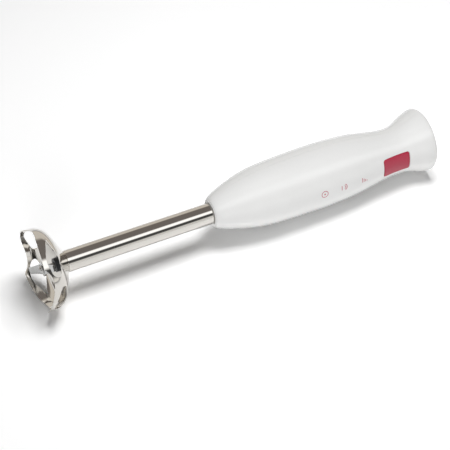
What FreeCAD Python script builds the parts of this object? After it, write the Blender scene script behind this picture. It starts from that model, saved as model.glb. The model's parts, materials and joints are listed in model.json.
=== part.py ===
"""Immersion blender: steel foot with a windowed bell, white handle, motor and press button.

Everything is built along the blender's own axis: +X runs from the rim of the bell to the end of
the handle, +Z points out through the button and +Y along the seam of the two handle shells.
lay_down() then turns the finished pieces into the frame that they are kept in, where the blender
lies on its bell and on the flare of its handle with the button on the -Y side. Lengths are in mm.
"""
import FreeCAD, Part

import math
import os
from dataclasses import dataclass

from FreeCAD import Matrix, Vector

# Blade guard: a thin steel bell with a petalled rim and leaf-shaped windows
GUARD_HEIGHT = 27.0
RIM_RADIUS = 35.4
SHOULDER_RADIUS = 34.0
SHOULDER_HEIGHT = 14.8
SHOULDER_ROUND = 12.5
GUARD_WALL = 1.2
GUARD_SPIGOT = 8.0
PETALS = 4
PETAL_DEPTH = 5.2
FIRST_PETAL_ANGLE = -37.0
WINDOW_LENGTH = 34.8
WINDOW_LOW = 4.0
WINDOW_HIGH = 15.6
WINDOW_CUT_GAP = 2.0
# The windows come in two pairs, whose round ends face each other. A leaf's points start at its tip:
# how far up between the low and the high level, and how far across in half lengths.
FORWARD_WINDOW_ANGLE = -50.0
FORWARD_LEAF = ((0.6, 1.0), (0.24, 0.40), (0.0, -0.15), (0.06, -0.55), (0.28, -0.88),
                (0.55, -0.98), (0.88, -0.55), (1.0, -0.05), (0.82, 0.40))
BACKWARD_WINDOW_ANGLE = -154.0
BACKWARD_LEAF = ((0.45, -1.0), (0.14, -0.62), (0.0, -0.25), (0.05, 0.04), (0.20, 0.40),
                 (0.46, 0.80), (0.67, 0.98), (0.90, 0.90), (1.0, 0.60), (1.0, 0.15), (0.84, -0.42))

# Shaft tube and its bushes
TUBE_RADIUS = 9.2
TUBE_WALL = 0.8
EXPOSED_TUBE = 133.0
TUBE_IN_HANDLE = 16.0
BUSH_WALL = 2.4
BUSH_LENGTH = 14.0
MIDDLE_BUSH_LENGTH = 8.0
UPPER_BUSH_LENGTH = 9.0
CARRIER_LENGTH = 26.0
CARRIER_START = 17.5
CARRIER_NOSE = 5.0
CARRIER_LIP = 1.0
CARRIER_NOSE_WALL = 1.0
SEAL_LENGTH = 4.0

# Drive line
SHAFT_RADIUS = 2.5
SPIGOT_RADIUS = 2.0
BLADE_SEAT = 8.5
BLADE_THICKNESS = 1.6
BLADE_REACH = 24.0
BLADE_WIDTH = 9.0
BLADE_HUB_RADIUS = 6.0
BLADE_RISE = 3.0
BLADE_DROP = 5.0
BLADE_ANGLE = 61.0
NUT_ACROSS_FLATS = 7.0
NUT_HEIGHT = 3.0
COUPLING_RADIUS = 7.0
COUPLING_LENGTH = 12.0
COUPLING_GAP = 2.0
SHAFT_GAP = 2.0

# Handle: (distance from the nose face, outer radius, shift of the centre towards the palm)
HANDLE_SECTIONS = (
    (0.0, 12.1, 0.0),
    (1.2, 13.2, 0.1),
    (4.0, 14.9, 0.3),
    (12.0, 18.0, 0.8),
    (24.0, 21.7, 1.3),
    (37.0, 24.7, 1.6),
    (50.0, 26.4, 1.8),
    (65.0, 27.2, 2.0),
    (85.0, 27.7, 2.4),
    (105.0, 27.8, 2.7),
    (125.0, 27.0, 3.0),
    (145.0, 24.8, 3.2),
    (159.0, 22.3, 2.8),
    (172.0, 20.7, 2.4),
    (182.0, 21.1, 2.9),
    (194.0, 24.7, 4.5),
    (202.0, 27.3, 5.1),
    (206.0, 28.0, 5.5),
)
SHELL_WALL = 2.4
COLLAR_LENGTH = 6.0
COLLAR_WALL = 2.0
NOSE_RING = 0.6
RIB = 3.0
CAP_DOME = 4.0
CAP_ROUND = 3.0
CAP_SPIGOT = 4.0
CAP_WALL = 2.4
CAP_SEAT_WALL = 2.3
VENT_COUNT = 10
VENT_WIDTH = 1.8
VENT_LENGTH = 8.0
OUTLET_SLOTS = 4
OUTLET_LENGTH = 14.0
OUTLET_WIDTH = 2.0
OUTLET_PITCH = 4.0

# Button
BUTTON_AT = 170.7
BUTTON_LENGTH = 26.0
BUTTON_WIDTH = 17.0
BUTTON_CORNER = 1.6
BUTTON_PROUD = 0.6
BUTTON_WALL = 2.0
BUTTON_DEPTH = 6.5
BUTTON_TRAVEL = 2.0
BUTTON_GAP = 0.35
BUTTON_TAB = 2.0
PLUNGER_RADIUS = 1.5
RETURN_SPRING_RADIUS = 3.4
RETURN_SPRING_WIRE = 0.35
RETURN_SPRING_TURNS = 4

# Motor
STATOR_RADIUS = 19.0
YOKE = 3.8
POLE_BORE = 11.6
POLE_HALF_ANGLE = 50.0
CORE_LENGTH = 26.0
AIR_GAP = 0.5
COIL_OVERHANG = 5.0
COIL_CLEARANCE = 0.3
COIL_TO_BORE = 0.6
COIL_HALF_ANGLE = 74.0
COIL_SLOT_ANGLE = 2.0
ARMATURE_SLOTS = 12
ARMATURE_SLOT_WIDTH = 1.4
ARMATURE_SLOT_DEPTH = 4.0
WINDING_RADIUS = 9.8
COMMUTATOR_RADIUS = 7.5
COMMUTATOR_LENGTH = 12.0
COMMUTATOR_BARS = 12
BRUSH_WIDTH = 5.0
BRUSH_LENGTH = 8.0
HOLDER_WALL = 1.0
HOLDER_LENGTH = 12.0
HOLDER_GAP = 1.5
HOLDER_FOOT = 4.0
BRUSH_SPRING_RADIUS = 1.6
BRUSH_SPRING_WIRE = 0.3
BRUSH_SPRING_TURNS = 4
FAN_RADIUS = 14.4
FAN_LENGTH = 8.0
FAN_BLADES = 9
FAN_DISC = 1.2
FAN_HUB_WALL = 2.5
FAN_BLADE_WALL = 1.0
FAN_BLADE_GAP = 1.0
FRAME_RADIUS = 18.0
FRAME_PLATE = 3.0
FRAME_SEAT_WALL = 2.0
FRAME_SEAT_RIM = 3.0
FRAME_WINDOW = (20.0, 70.0)
FRAME_WINDOW_WALL = 1.2
BEARING_RADIUS = 6.0
BEARING_LENGTH = 6.0
MOUNT_WALL = 1.4
MOTOR_SCREW_RADIUS = 1.2
MOTOR_SCREW_CIRCLE = 16.2
MOTOR_SCREW_ANGLE = 45.0
MOTOR_SCREW_EAR = 0.5
MOTOR_SCREW_HEAD = 2.04
MOTOR_SCREW_HEAD_HEIGHT = 2.0
MOTOR_GAP = 3.0

# Electrical parts behind the motor
BOARD_GAP = 9.0
BOARD_LENGTH = 36.0
BOARD_WIDTH = 28.0
BOARD_THICKNESS = 1.6
BOARD_LEVEL = -7.0
BOARD_SLOT = 2.0
CAPACITOR = (16.0, 8.0, 11.0)
CAPACITOR_AT = (2.0, 5.0)
CAPACITOR_ROUND = 1.2
RECTIFIER = (9.0, 4.0, 10.0)
RECTIFIER_AT = (-8.0, -8.0)
CHOKE_AT = (4.0, -6.5)
CHOKE_HEIGHT = 9.0
CHOKE_RADIUS = 3.5
SWITCH = (20.0, 10.0, 9.0)
SWITCH_TOP = 9.0
SWITCH_GAP = 0.5
PLUNGER_IN_SWITCH = 2.0
BUTTON_TAB_THICKNESS = 1.4
BUTTON_STEM_GAP = 1.2
BUTTON_STEM_WALL = 0.5
SPRING_GAP = 0.1
SHELF = 2.0

# Cord inlet (the cord itself is left out)
CORD_BORE = 3.3
GLAND_RADIUS = 5.2
GLAND_FLANGE = 7.2
GLAND_LIP = 1.4
GLAND_TAIL = 9.0
CLAMP = (7.0, 18.0, 3.0)
CLAMP_DROP = 1.0
CLAMP_GAP = 0.6
CLAMP_BORDER = 1.0
CLAMP_SCREW_DEPTH = 6.0

# Fasteners
SCREW_RADIUS = 1.4
SCREW_HEAD = 2.6
SCREW_HEAD_HEIGHT = 2.0
SCREW_GRIP = 5.0
BOSS_RADIUS = 3.4
SCREW_RECESS = 3.2
SHELL_SCREWS = ((24.0, 14.8), (138.0, 18.2))

# Clearances
FIT = 0.05
SLIP = 0.15
RUNNING = 0.04

# How the blender lies: the button's direction above the horizontal, in degrees
BUTTON_ELEVATION = 8.0

# Places along the axis that several pieces share
NOSE = GUARD_HEIGHT + EXPOSED_TUBE
TUBE_BORE = TUBE_RADIUS - TUBE_WALL
HANDLE_LENGTH = HANDLE_SECTIONS[-1][0]
HANDLE_END = NOSE + HANDLE_LENGTH
TUBE_END = NOSE + TUBE_IN_HANDLE
COUPLING_START = TUBE_END + COUPLING_GAP
COUPLING_END = COUPLING_START + COUPLING_LENGTH
DRIVE_END = (COUPLING_START + COUPLING_END - SHAFT_GAP) / 2
ARMATURE_START = DRIVE_END + SHAFT_GAP
FRONT_BEARING_START = COUPLING_END + COUPLING_GAP
FRONT_FRAME_END = FRONT_BEARING_START + BEARING_LENGTH
FRONT_FRAME_START = FRONT_FRAME_END - FRAME_PLATE
FAN_START = FRONT_FRAME_END + MOTOR_GAP
FAN_END = FAN_START + FAN_LENGTH
CORE_START = FAN_END + MOTOR_GAP + COIL_OVERHANG
CORE_END = CORE_START + CORE_LENGTH
COMMUTATOR_START = CORE_END + COIL_OVERHANG + MOTOR_GAP
COMMUTATOR_END = COMMUTATOR_START + COMMUTATOR_LENGTH
BRUSH_AT = COMMUTATOR_START + COMMUTATOR_LENGTH / 2
REAR_FRAME_START = COMMUTATOR_END + MOTOR_GAP
REAR_FRAME_END = REAR_FRAME_START + FRAME_PLATE
ARMATURE_END = REAR_FRAME_START + BEARING_LENGTH + 2.0
BOARD_START = REAR_FRAME_END + BOARD_GAP
BUTTON_X = NOSE + BUTTON_AT
X_AXIS = Vector(1, 0, 0)
Y_AXIS = Vector(0, 1, 0)
Z_AXIS = Vector(0, 0, 1)
ORIGIN = Vector(0, 0, 0)


@dataclass(frozen=True)
class Node:
    """One named sub-part: its file name and its shape."""

    name: str
    shape: Part.Shape


def rod(start, length, radius, y=0.0, z=0.0):
    """Return a cylinder along the axis, from start, centred on (y, z)."""
    return Part.makeCylinder(radius, length, Vector(start, y, z), X_AXIS)


def ring(start, length, outer, inner, y=0.0, z=0.0):
    """Return a tube along the axis."""
    return rod(start, length, outer, y, z).cut(rod(start, length, inner, y, z))


def post(x, y, bottom, top, radius):
    """Return a cylinder along Z between two levels."""
    return Part.makeCylinder(radius, top - bottom, Vector(x, y, bottom), Z_AXIS)


def block(size, centre):
    """Return a box of the given size about its centre."""
    corner = Vector(*centre) - Vector(*size) * 0.5
    return Part.makeBox(size[0], size[1], size[2], corner)


def sector(start, length, outer, inner, first, last):
    """Return a slice of a tube between two angles about the axis, measured from +Z towards +Y."""
    points = [Vector(start, 0, inner), Vector(start, 0, outer)]
    points += [Vector(start + length, 0, outer), Vector(start + length, 0, inner)]
    face = Part.Face(Part.makePolygon(points + points[:1]))
    face.rotate(ORIGIN, X_AXIS, -first)
    return face.revolve(ORIGIN, X_AXIS, -(last - first))


def around(shape, count, first=0.0):
    """Return copies of a shape, evenly spaced about the axis."""
    copies = []
    for index in range(count):
        copy = shape.copy()
        copy.rotate(ORIGIN, X_AXIS, first + index * 360.0 / count)
        copies.append(copy)
    return copies


def fused(shapes):
    """Return one solid made of overlapping shapes, without the seams between them."""
    first, *rest = shapes
    return first.fuse(rest).removeSplitter() if rest else first


def coil_spring(base, direction, height, radius, wire, turns):
    """Return a helical spring of round wire that stands on base."""
    pitch = (height - 2 * wire) / turns
    helix = Part.makeLongHelix(pitch, pitch * turns, radius)
    section = Part.Wire(Part.makeCircle(wire, Vector(radius, 0, 0), Y_AXIS))
    spring = Part.Wire(helix.Edges).makePipeShell([section], True, True)
    spring.translate(Vector(0, 0, wire))
    spring.Placement = FreeCAD.Placement(base, FreeCAD.Rotation(Z_AXIS, direction)).multiply(
        spring.Placement)
    return spring


# ---------------------------------------------------------------- foot

def crossing(first, second):
    """Return the point where two lines, each a pair of (x, radius) points, meet."""
    (ax, ay), (bx, by) = first
    (cx, cy), (dx, dy) = second
    scale = (bx - ax) * (dy - cy) - (by - ay) * (dx - cx)
    share = ((cx - ax) * (dy - cy) - (cy - ay) * (dx - cx)) / scale
    return (ax + share * (bx - ax), ay + share * (by - ay))


def inset_line(first, second, distance):
    """Return the line through two points, moved towards the axis by a distance."""
    along = (second[0] - first[0], second[1] - first[1])
    length = math.hypot(*along)
    step = (along[1] / length * distance, -along[0] / length * distance)
    return ((first[0] + step[0], first[1] + step[1]), (second[0] + step[0], second[1] + step[1]))


def bell_solid(inset):
    """Return the filled bell, inset from its outer surface by a wall."""
    corner = (SHOULDER_HEIGHT, SHOULDER_RADIUS)
    skirt = inset_line((0.0, RIM_RADIUS), corner, inset)
    cone = inset_line(corner, (GUARD_HEIGHT, TUBE_RADIUS), inset)
    knee = crossing(skirt, cone)
    below = (-GUARD_WALL, 0.0), (-GUARD_WALL, 1.0)
    foot = crossing(skirt, below)
    top = crossing(cone, ((0.0, TUBE_BORE), (1.0, TUBE_BORE))) if inset else (GUARD_HEIGHT, TUBE_RADIUS)
    down = Vector(foot[0] - knee[0], foot[1] - knee[1], 0).normalize()
    up = Vector(top[0] - knee[0], top[1] - knee[1], 0).normalize()
    half_turn = down.getAngle(up) / 2
    round_radius = SHOULDER_ROUND - inset
    tangent = round_radius / math.tan(half_turn)
    middle = (down + up).normalize() * (round_radius / math.sin(half_turn) - round_radius)
    apex = Vector(knee[0], knee[1], 0)
    outline = [Vector(foot[0], 0, 0), Vector(foot[0], foot[1], 0), apex + down * tangent]
    crown = [apex + up * tangent, Vector(top[0], top[1], 0), Vector(top[0], 0, 0)]
    edges = list(Part.makePolygon(outline).Edges)
    edges.append(Part.Arc(outline[-1], apex + middle, crown[0]).toShape())
    edges += Part.makePolygon(crown).Edges
    edges.append(Part.makeLine(crown[-1], outline[0]))
    return Part.Face(Part.Wire(edges)).revolve(ORIGIN, X_AXIS, 360)


def window_cutter(leaf_points):
    """Return the prism that cuts one window in the +Z side, from its tip's and its curve's points."""
    half = WINDOW_LENGTH / 2
    rise = WINDOW_HIGH - WINDOW_LOW
    tip, *curve = [Vector(WINDOW_LOW + up * rise, across * half, 0) for up, across in leaf_points]
    leaf = Part.BSplineCurve()
    leaf.interpolate([tip] + curve + [tip])
    face = Part.Face(Part.Wire([leaf.toShape()]))
    face.translate(Vector(0, 0, BLADE_HUB_RADIUS + WINDOW_CUT_GAP))
    return face.extrude(Vector(0, 0, RIM_RADIUS))


def arch_cutter():
    """Return the prism that cuts one arch of the rim: steep after its petal, then a long slope."""
    half = RIM_RADIUS * math.sin(math.pi / PETALS)
    below = -GUARD_WALL
    slope = ((0.0, 1.0), (0.66, 0.84), (1.0, 0.56), (0.62, 0.0), (0.16, -0.64), (0.0, -1.0))
    points = [Vector(up * PETAL_DEPTH, across * half, 0) for up, across in slope]
    edge = Part.BSplineCurve()
    edge.interpolate(points)
    closing = Part.makePolygon([points[-1], Vector(below, -half, 0), Vector(below, half, 0), points[0]])
    face = Part.Face(Part.Wire([edge.toShape()] + closing.Edges))
    return face.extrude(Vector(0, 0, 2 * RIM_RADIUS))


def make_blade_guard():
    """Return the bell: wall, spigot for the tube, windows and the arches between the petals."""
    spigot_outer = TUBE_BORE - FIT
    bell = bell_solid(0.0).cut(bell_solid(GUARD_WALL))
    spigot = rod(GUARD_HEIGHT - GUARD_WALL, GUARD_SPIGOT + GUARD_WALL, spigot_outer)
    bore = rod(0.0, GUARD_HEIGHT + GUARD_SPIGOT + 1.0, spigot_outer - TUBE_WALL)
    bell = bell.fuse(spigot).cut(bore)
    cutters = around(arch_cutter(), PETALS, FIRST_PETAL_ANGLE + 180.0 / PETALS)
    cutters += around(window_cutter(FORWARD_LEAF), 2, FORWARD_WINDOW_ANGLE)
    cutters += around(window_cutter(BACKWARD_LEAF), 2, BACKWARD_WINDOW_ANGLE)
    cutters.append(rod(-2 * GUARD_WALL, 2 * GUARD_WALL, 2 * RIM_RADIUS))
    return bell.cut(cutters)


def make_shaft_tube():
    """Return the tube, brazed onto the bell's spigot and clamped in the handle's nose."""
    return ring(GUARD_HEIGHT, TUBE_END - GUARD_HEIGHT, TUBE_RADIUS, TUBE_BORE)


def make_bearing_carrier():
    """Return the boss that fills the bell's spigot and holds the lower bush and the seal."""
    outer = TUBE_BORE - TUBE_WALL - 2 * FIT
    bush = SHAFT_RADIUS + BUSH_WALL
    nose = rod(CARRIER_START, CARRIER_NOSE, bush + CARRIER_NOSE_WALL)
    main = rod(CARRIER_START + CARRIER_NOSE, CARRIER_LENGTH - CARRIER_NOSE, outer)
    body = fused([nose, main])
    body = body.cut(rod(CARRIER_START + CARRIER_LIP + SEAL_LENGTH, CARRIER_LENGTH, bush))
    body = body.cut(rod(CARRIER_START, CARRIER_LENGTH, SHAFT_RADIUS + 0.6))
    return body.cut(rod(CARRIER_START + CARRIER_LIP, CARRIER_LENGTH, bush - FIT))


def make_lower_bushes():
    """Return the lower bush, the shaft seal below it, and the bushes up the tube."""
    outer = SHAFT_RADIUS + BUSH_WALL - 2 * FIT
    bore = SHAFT_RADIUS + RUNNING
    seal_start = CARRIER_START + CARRIER_LIP
    bush_start = seal_start + SEAL_LENGTH
    middle = (GUARD_HEIGHT + NOSE - MIDDLE_BUSH_LENGTH) / 2
    upper = TUBE_END - UPPER_BUSH_LENGTH - 2.0
    tube_fit = TUBE_BORE - FIT
    return [
        Node("shaft_seal", ring(seal_start, SEAL_LENGTH - 0.3, outer - FIT, bore)),
        Node("lower_bush", ring(bush_start, BUSH_LENGTH, outer, bore)),
        Node("middle_bush", ring(middle, MIDDLE_BUSH_LENGTH, tube_fit, bore)),
        Node("upper_bush", ring(upper, UPPER_BUSH_LENGTH, tube_fit, bore)),
    ]


# ---------------------------------------------------------------- drive line

def make_drive_shaft():
    """Return the long shaft, stepped down at its lower end for the blade and its nut."""
    spigot_start = BLADE_SEAT - BLADE_THICKNESS - NUT_HEIGHT
    spigot = rod(spigot_start, BLADE_SEAT - spigot_start, SPIGOT_RADIUS)
    return fused([rod(BLADE_SEAT, DRIVE_END - BLADE_SEAT, SHAFT_RADIUS), spigot])


def make_blade():
    """Return the two-winged blade: one wing rises into the bell, the other drops to the rim."""
    top = BLADE_SEAT
    points = [
        Vector(top - BLADE_DROP, -BLADE_REACH, 0),
        Vector(top, -BLADE_HUB_RADIUS, 0),
        Vector(top, BLADE_HUB_RADIUS, 0),
        Vector(top + BLADE_RISE, BLADE_REACH, 0),
    ]
    lower = [point - Vector(BLADE_THICKNESS, 0, 0) for point in reversed(points)]
    side = Part.Face(Part.makePolygon(points + lower + points[:1]))
    side.translate(Vector(0, 0, -BLADE_WIDTH / 2))
    strip = side.extrude(Vector(0, 0, BLADE_WIDTH))
    half = BLADE_WIDTH / 2
    plan = [(-BLADE_REACH, half), (-0.45 * BLADE_REACH, -half), (0.72 * BLADE_REACH, -half),
            (BLADE_REACH, -half), (0.45 * BLADE_REACH, half), (-0.72 * BLADE_REACH, half)]
    outline = [Vector(0, y, z) for y, z in plan]
    prism = Part.Face(Part.makePolygon(outline + outline[:1])).extrude(Vector(2 * BLADE_SEAT, 0, 0))
    hub = rod(top - BLADE_THICKNESS, BLADE_THICKNESS, BLADE_HUB_RADIUS)
    blade = fused([strip.common(prism), hub]).cut(rod(0, 2 * BLADE_SEAT, SPIGOT_RADIUS + FIT))
    blade.rotate(ORIGIN, X_AXIS, BLADE_ANGLE)
    return blade


def make_blade_nut():
    """Return the domed hexagon nut that clamps the blade to the shaft."""
    start = BLADE_SEAT - BLADE_THICKNESS - NUT_HEIGHT
    corner = NUT_ACROSS_FLATS / math.sqrt(3)
    corners = [Vector(start, corner * math.cos(math.radians(60 * k)),
                      corner * math.sin(math.radians(60 * k))) for k in range(7)]
    nut = Part.Face(Part.makePolygon(corners)).extrude(Vector(NUT_HEIGHT, 0, 0))
    dome = Part.makeSphere(corner * 1.12, Vector(start + corner, 0, 0))
    return nut.common(dome).cut(rod(start, NUT_HEIGHT, SPIGOT_RADIUS + FIT))


def make_drive_coupling():
    """Return the splined sleeve that joins the drive shaft to the armature shaft."""
    start = COUPLING_START
    sleeve = ring(start, COUPLING_LENGTH, COUPLING_RADIUS, SHAFT_RADIUS + FIT)
    groove = Part.makeCylinder(0.9, COUPLING_LENGTH, Vector(start, 0, COUPLING_RADIUS + 0.3), X_AXIS)
    return sleeve.cut(around(groove, 8))


def outer_rims(shape, radius):
    """Return the round edges of a shape that have the given radius."""
    return [edge for edge in shape.Edges if abs(edge.BoundBox.YLength - 2 * radius) < FIT]


def make_armature():
    """Return the pieces of the spinning armature, with its fan and commutator."""
    shaft_fit = SHAFT_RADIUS + FIT
    core_radius = POLE_BORE - AIR_GAP
    core = ring(CORE_START, CORE_LENGTH, core_radius, shaft_fit)
    slot = block((CORE_LENGTH, ARMATURE_SLOT_WIDTH, 2 * ARMATURE_SLOT_DEPTH),
                 (CORE_START + CORE_LENGTH / 2, 0, core_radius))
    core = core.cut(around(slot, ARMATURE_SLOTS))
    ends = [
        ring(CORE_START - COIL_OVERHANG, COIL_OVERHANG, WINDING_RADIUS, shaft_fit + 1.0),
        ring(CORE_END, COIL_OVERHANG, WINDING_RADIUS, shaft_fit + 1.0),
    ]
    ends = [end.makeFillet(COIL_OVERHANG / 3, outer_rims(end, WINDING_RADIUS)) for end in ends]
    bars = ring(COMMUTATOR_START, COMMUTATOR_LENGTH, COMMUTATOR_RADIUS, shaft_fit)
    cut = block((COMMUTATOR_LENGTH, 0.5, 1.0), (BRUSH_AT, 0, COMMUTATOR_RADIUS))
    return [
        Node("armature_shaft", rod(ARMATURE_START, ARMATURE_END - ARMATURE_START, SHAFT_RADIUS)),
        Node("armature_core", core),
        Node("armature_windings", Part.makeCompound(ends)),
        Node("commutator", bars.cut(around(cut, COMMUTATOR_BARS))),
        Node("cooling_fan", make_fan(shaft_fit)),
    ]


def make_fan(bore):
    """Return the radial fan: a disc, a hub and flat blades."""
    hub = rod(FAN_START, FAN_LENGTH, SHAFT_RADIUS + FAN_HUB_WALL)
    disc = rod(FAN_END - FAN_DISC, FAN_DISC, FAN_RADIUS)
    reach = FAN_RADIUS - SHAFT_RADIUS - FAN_HUB_WALL / 2
    depth = FAN_LENGTH - FAN_BLADE_GAP
    blade = block((depth, FAN_BLADE_WALL, reach), (FAN_END - depth / 2, 0, FAN_RADIUS - reach / 2))
    return fused([hub, disc] + around(blade, FAN_BLADES)).cut(rod(FAN_START, FAN_LENGTH, bore))


# ---------------------------------------------------------------- motor

def motor_screw_places():
    """Return (y, z) of the two long motor screws that clamp the frames to the stator."""
    angle = math.radians(MOTOR_SCREW_ANGLE)
    reach = (MOTOR_SCREW_CIRCLE * math.cos(angle), MOTOR_SCREW_CIRCLE * math.sin(angle))
    return [(side * reach[0], side * reach[1]) for side in (-1, 1)]


def frame_outline(start, length, gap):
    """Return the filled outline of a motor frame with an ear round each screw, grown by a gap."""
    ear = MOTOR_SCREW_RADIUS + MOTOR_SCREW_EAR + gap
    ears = [rod(start, length, ear, y, z) for y, z in motor_screw_places()]
    return fused([rod(start, length, FRAME_RADIUS + gap)] + ears)


def mount_room(start, length):
    """Return the room that the shells leave for a frame and its rubber ring."""
    return frame_outline(start, length, 2 * FIT + MOUNT_WALL)


def make_frame(start, pocket_start):
    """Return one end frame of the motor: a spoked plate with a seat for its bearing."""
    plate = frame_outline(start, FRAME_PLATE, 0.0)
    seat = rod(pocket_start, BEARING_LENGTH, BEARING_RADIUS + FRAME_SEAT_WALL)
    window_reach = MOTOR_SCREW_CIRCLE - MOTOR_SCREW_RADIUS - FRAME_WINDOW_WALL
    window = sector(start, FRAME_PLATE, window_reach, BEARING_RADIUS + FRAME_SEAT_RIM, *FRAME_WINDOW)
    frame = fused([plate, seat]).cut(around(window, 4))
    frame = frame.cut(rod(pocket_start, BEARING_LENGTH, BEARING_RADIUS + FIT))
    for y, z in motor_screw_places():
        frame = frame.cut(rod(start, FRAME_PLATE, MOTOR_SCREW_RADIUS + FIT, y, z))
    return frame


def make_motor():
    """Return the fixed pieces of the motor and the rubber rings that carry it."""
    pole_top = STATOR_RADIUS - YOKE
    core = ring(CORE_START, CORE_LENGTH, STATOR_RADIUS, pole_top)
    poles = [sector(CORE_START, CORE_LENGTH, pole_top + 0.5, POLE_BORE, turn - POLE_HALF_ANGLE,
                    turn + POLE_HALF_ANGLE) for turn in (0, 180)]
    core = fused([core] + poles)
    for y, z in motor_screw_places():
        core = core.cut(rod(CORE_START, CORE_LENGTH, MOTOR_SCREW_RADIUS + FIT, y, z))
    coil_outer = pole_top - COIL_CLEARANCE
    coil_inner = POLE_BORE + COIL_TO_BORE
    coils = []
    for turn in (0, 180):
        saddle = sector(CORE_START - COIL_OVERHANG, CORE_LENGTH + 2 * COIL_OVERHANG, coil_outer,
                        coil_inner, turn - COIL_HALF_ANGLE, turn + COIL_HALF_ANGLE)
        half_angle = POLE_HALF_ANGLE + COIL_SLOT_ANGLE
        hole = sector(CORE_START - COIL_CLEARANCE, CORE_LENGTH + 2 * COIL_CLEARANCE, coil_outer + 1,
                      coil_inner - 1, turn - half_angle, turn + half_angle)
        coils.append(saddle.cut(hole))
    front_bearing = FRONT_BEARING_START
    rear_bearing = REAR_FRAME_START
    screws = []
    for y, z in motor_screw_places():
        shank = rod(FRONT_FRAME_START, REAR_FRAME_END - FRONT_FRAME_START, MOTOR_SCREW_RADIUS, y, z)
        head = rod(REAR_FRAME_END, MOTOR_SCREW_HEAD_HEIGHT, MOTOR_SCREW_HEAD, y, z)
        screws.append(fused([shank, head]))
    nodes = [
        Node("stator_core", core),
        Node("field_coils", Part.makeCompound(coils)),
        Node("motor_frame_front", make_frame(FRONT_FRAME_START, front_bearing)),
        Node("motor_frame_rear", make_frame(REAR_FRAME_START, rear_bearing)),
        Node("motor_screws", Part.makeCompound(screws)),
    ]
    for name, start in (("front", front_bearing), ("rear", rear_bearing)):
        bearing = ring(start, BEARING_LENGTH, BEARING_RADIUS, SHAFT_RADIUS + RUNNING)
        nodes.append(Node(name + "_bearing", bearing))
    for name, start in (("front", FRONT_FRAME_START), ("rear", REAR_FRAME_START)):
        rubber = frame_outline(start, FRAME_PLATE, FIT + MOUNT_WALL)
        nodes.append(Node(name + "_mount", rubber.cut(frame_outline(start, FRAME_PLATE, FIT))))
    return nodes


def make_brush_gear():
    """Return the brush holders, the carbon brushes and the springs that press them inwards."""
    start = COMMUTATOR_RADIUS + RUNNING
    holder_start = COMMUTATOR_RADIUS + HOLDER_GAP
    inner = BRUSH_WIDTH + 2 * SLIP
    outer = inner + 2 * HOLDER_WALL
    holders, brushes, springs = [], [], []
    for side in (-1, 1):
        middle = side * (holder_start + HOLDER_LENGTH / 2)
        holder = block((outer, HOLDER_LENGTH, outer), (BRUSH_AT, middle, 0))
        pocket_middle = middle - side * HOLDER_WALL
        foot = block((REAR_FRAME_START - BRUSH_AT, HOLDER_FOOT, outer),
                     ((REAR_FRAME_START + BRUSH_AT) / 2, side * (holder_start + HOLDER_FOOT / 2), 0))
        tunnel = block((inner, HOLDER_LENGTH, inner), (BRUSH_AT, pocket_middle, 0))
        holders.append(fused([holder, foot]).cut(tunnel))
        brushes.append(block((BRUSH_WIDTH, BRUSH_LENGTH, BRUSH_WIDTH),
                             (BRUSH_AT, side * (start + BRUSH_LENGTH / 2), 0)))
        back = holder_start + HOLDER_LENGTH - HOLDER_WALL
        free = back - start - BRUSH_LENGTH - 2 * SLIP
        springs.append(coil_spring(Vector(BRUSH_AT, side * (start + BRUSH_LENGTH + SLIP), 0),
                                   Vector(0, side, 0), free, BRUSH_SPRING_RADIUS,
                                   BRUSH_SPRING_WIRE, BRUSH_SPRING_TURNS))
    return [
        Node("brush_holders", Part.makeCompound(holders)),
        Node("carbon_brushes", Part.makeCompound(brushes)),
        Node("brush_springs", Part.makeCompound(springs)),
    ]


# ---------------------------------------------------------------- handle

def handle_solid(inset):
    """Return the filled handle, inset from its outer surface (negative values stand proud)."""
    rings = []
    for distance, radius, shift in HANDLE_SECTIONS:
        circle = Part.makeCircle(radius - inset, Vector(NOSE + distance, 0, -shift), X_AXIS)
        rings.append(Part.Wire(circle))
    return Part.makeLoft(rings, True, False)


def handle_radius(distance):
    """Return the outer radius and the centre's shift of the handle at a distance from its nose."""
    for before, after in zip(HANDLE_SECTIONS, HANDLE_SECTIONS[1:]):
        if before[0] <= distance <= after[0]:
            share = (distance - before[0]) / (after[0] - before[0])
            return (before[1] + share * (after[1] - before[1]),
                    before[2] + share * (after[2] - before[2]))
    raise ValueError("the distance lies outside the handle")


def slab(start, length):
    """Return a wide box across the whole handle between two places on the axis."""
    width = 4 * RIM_RADIUS
    return Part.makeBox(length, width, width, Vector(start, -width / 2, -width / 2))


def half_space(side):
    """Return a big box on the button's side (1) or the palm side (-1) of the seam."""
    width = 4 * RIM_RADIUS
    low = 0.0 if side > 0 else -width
    return Part.makeBox(HANDLE_END + width, width, width, Vector(0, -width / 2, low))


def rib(room, start, thickness, opening):
    """Return a wall across the inside of the handle, with an opening cut through it."""
    return room.common(slab(start, thickness)).cut(opening)


def shell_screw_places():
    """Return (x, y) of the screws that hold the two shells together."""
    places = []
    for distance, reach in SHELL_SCREWS:
        places += [(NOSE + distance, -reach), (NOSE + distance, reach)]
    return places


def screw_head_level(x, y):
    """Return the level of a shell screw's head: a set depth under the palm side's surface."""
    radius, shift = handle_radius(x - NOSE)
    return -shift - math.sqrt(radius ** 2 - y ** 2) + SCREW_RECESS


def button_prism(gap):
    """Return the rounded prism through the button's opening, grown all round by a gap."""
    length = BUTTON_LENGTH + 2 * gap
    width = BUTTON_WIDTH + 2 * gap
    depth = handle_radius(BUTTON_AT)[0]
    prism = Part.makeBox(length, width, 2 * depth, Vector(BUTTON_X - length / 2, -width / 2, 0))
    corners = [edge for edge in prism.Edges if edge.BoundBox.ZLength > depth]
    return prism.makeFillet(BUTTON_CORNER + gap, corners)


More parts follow.
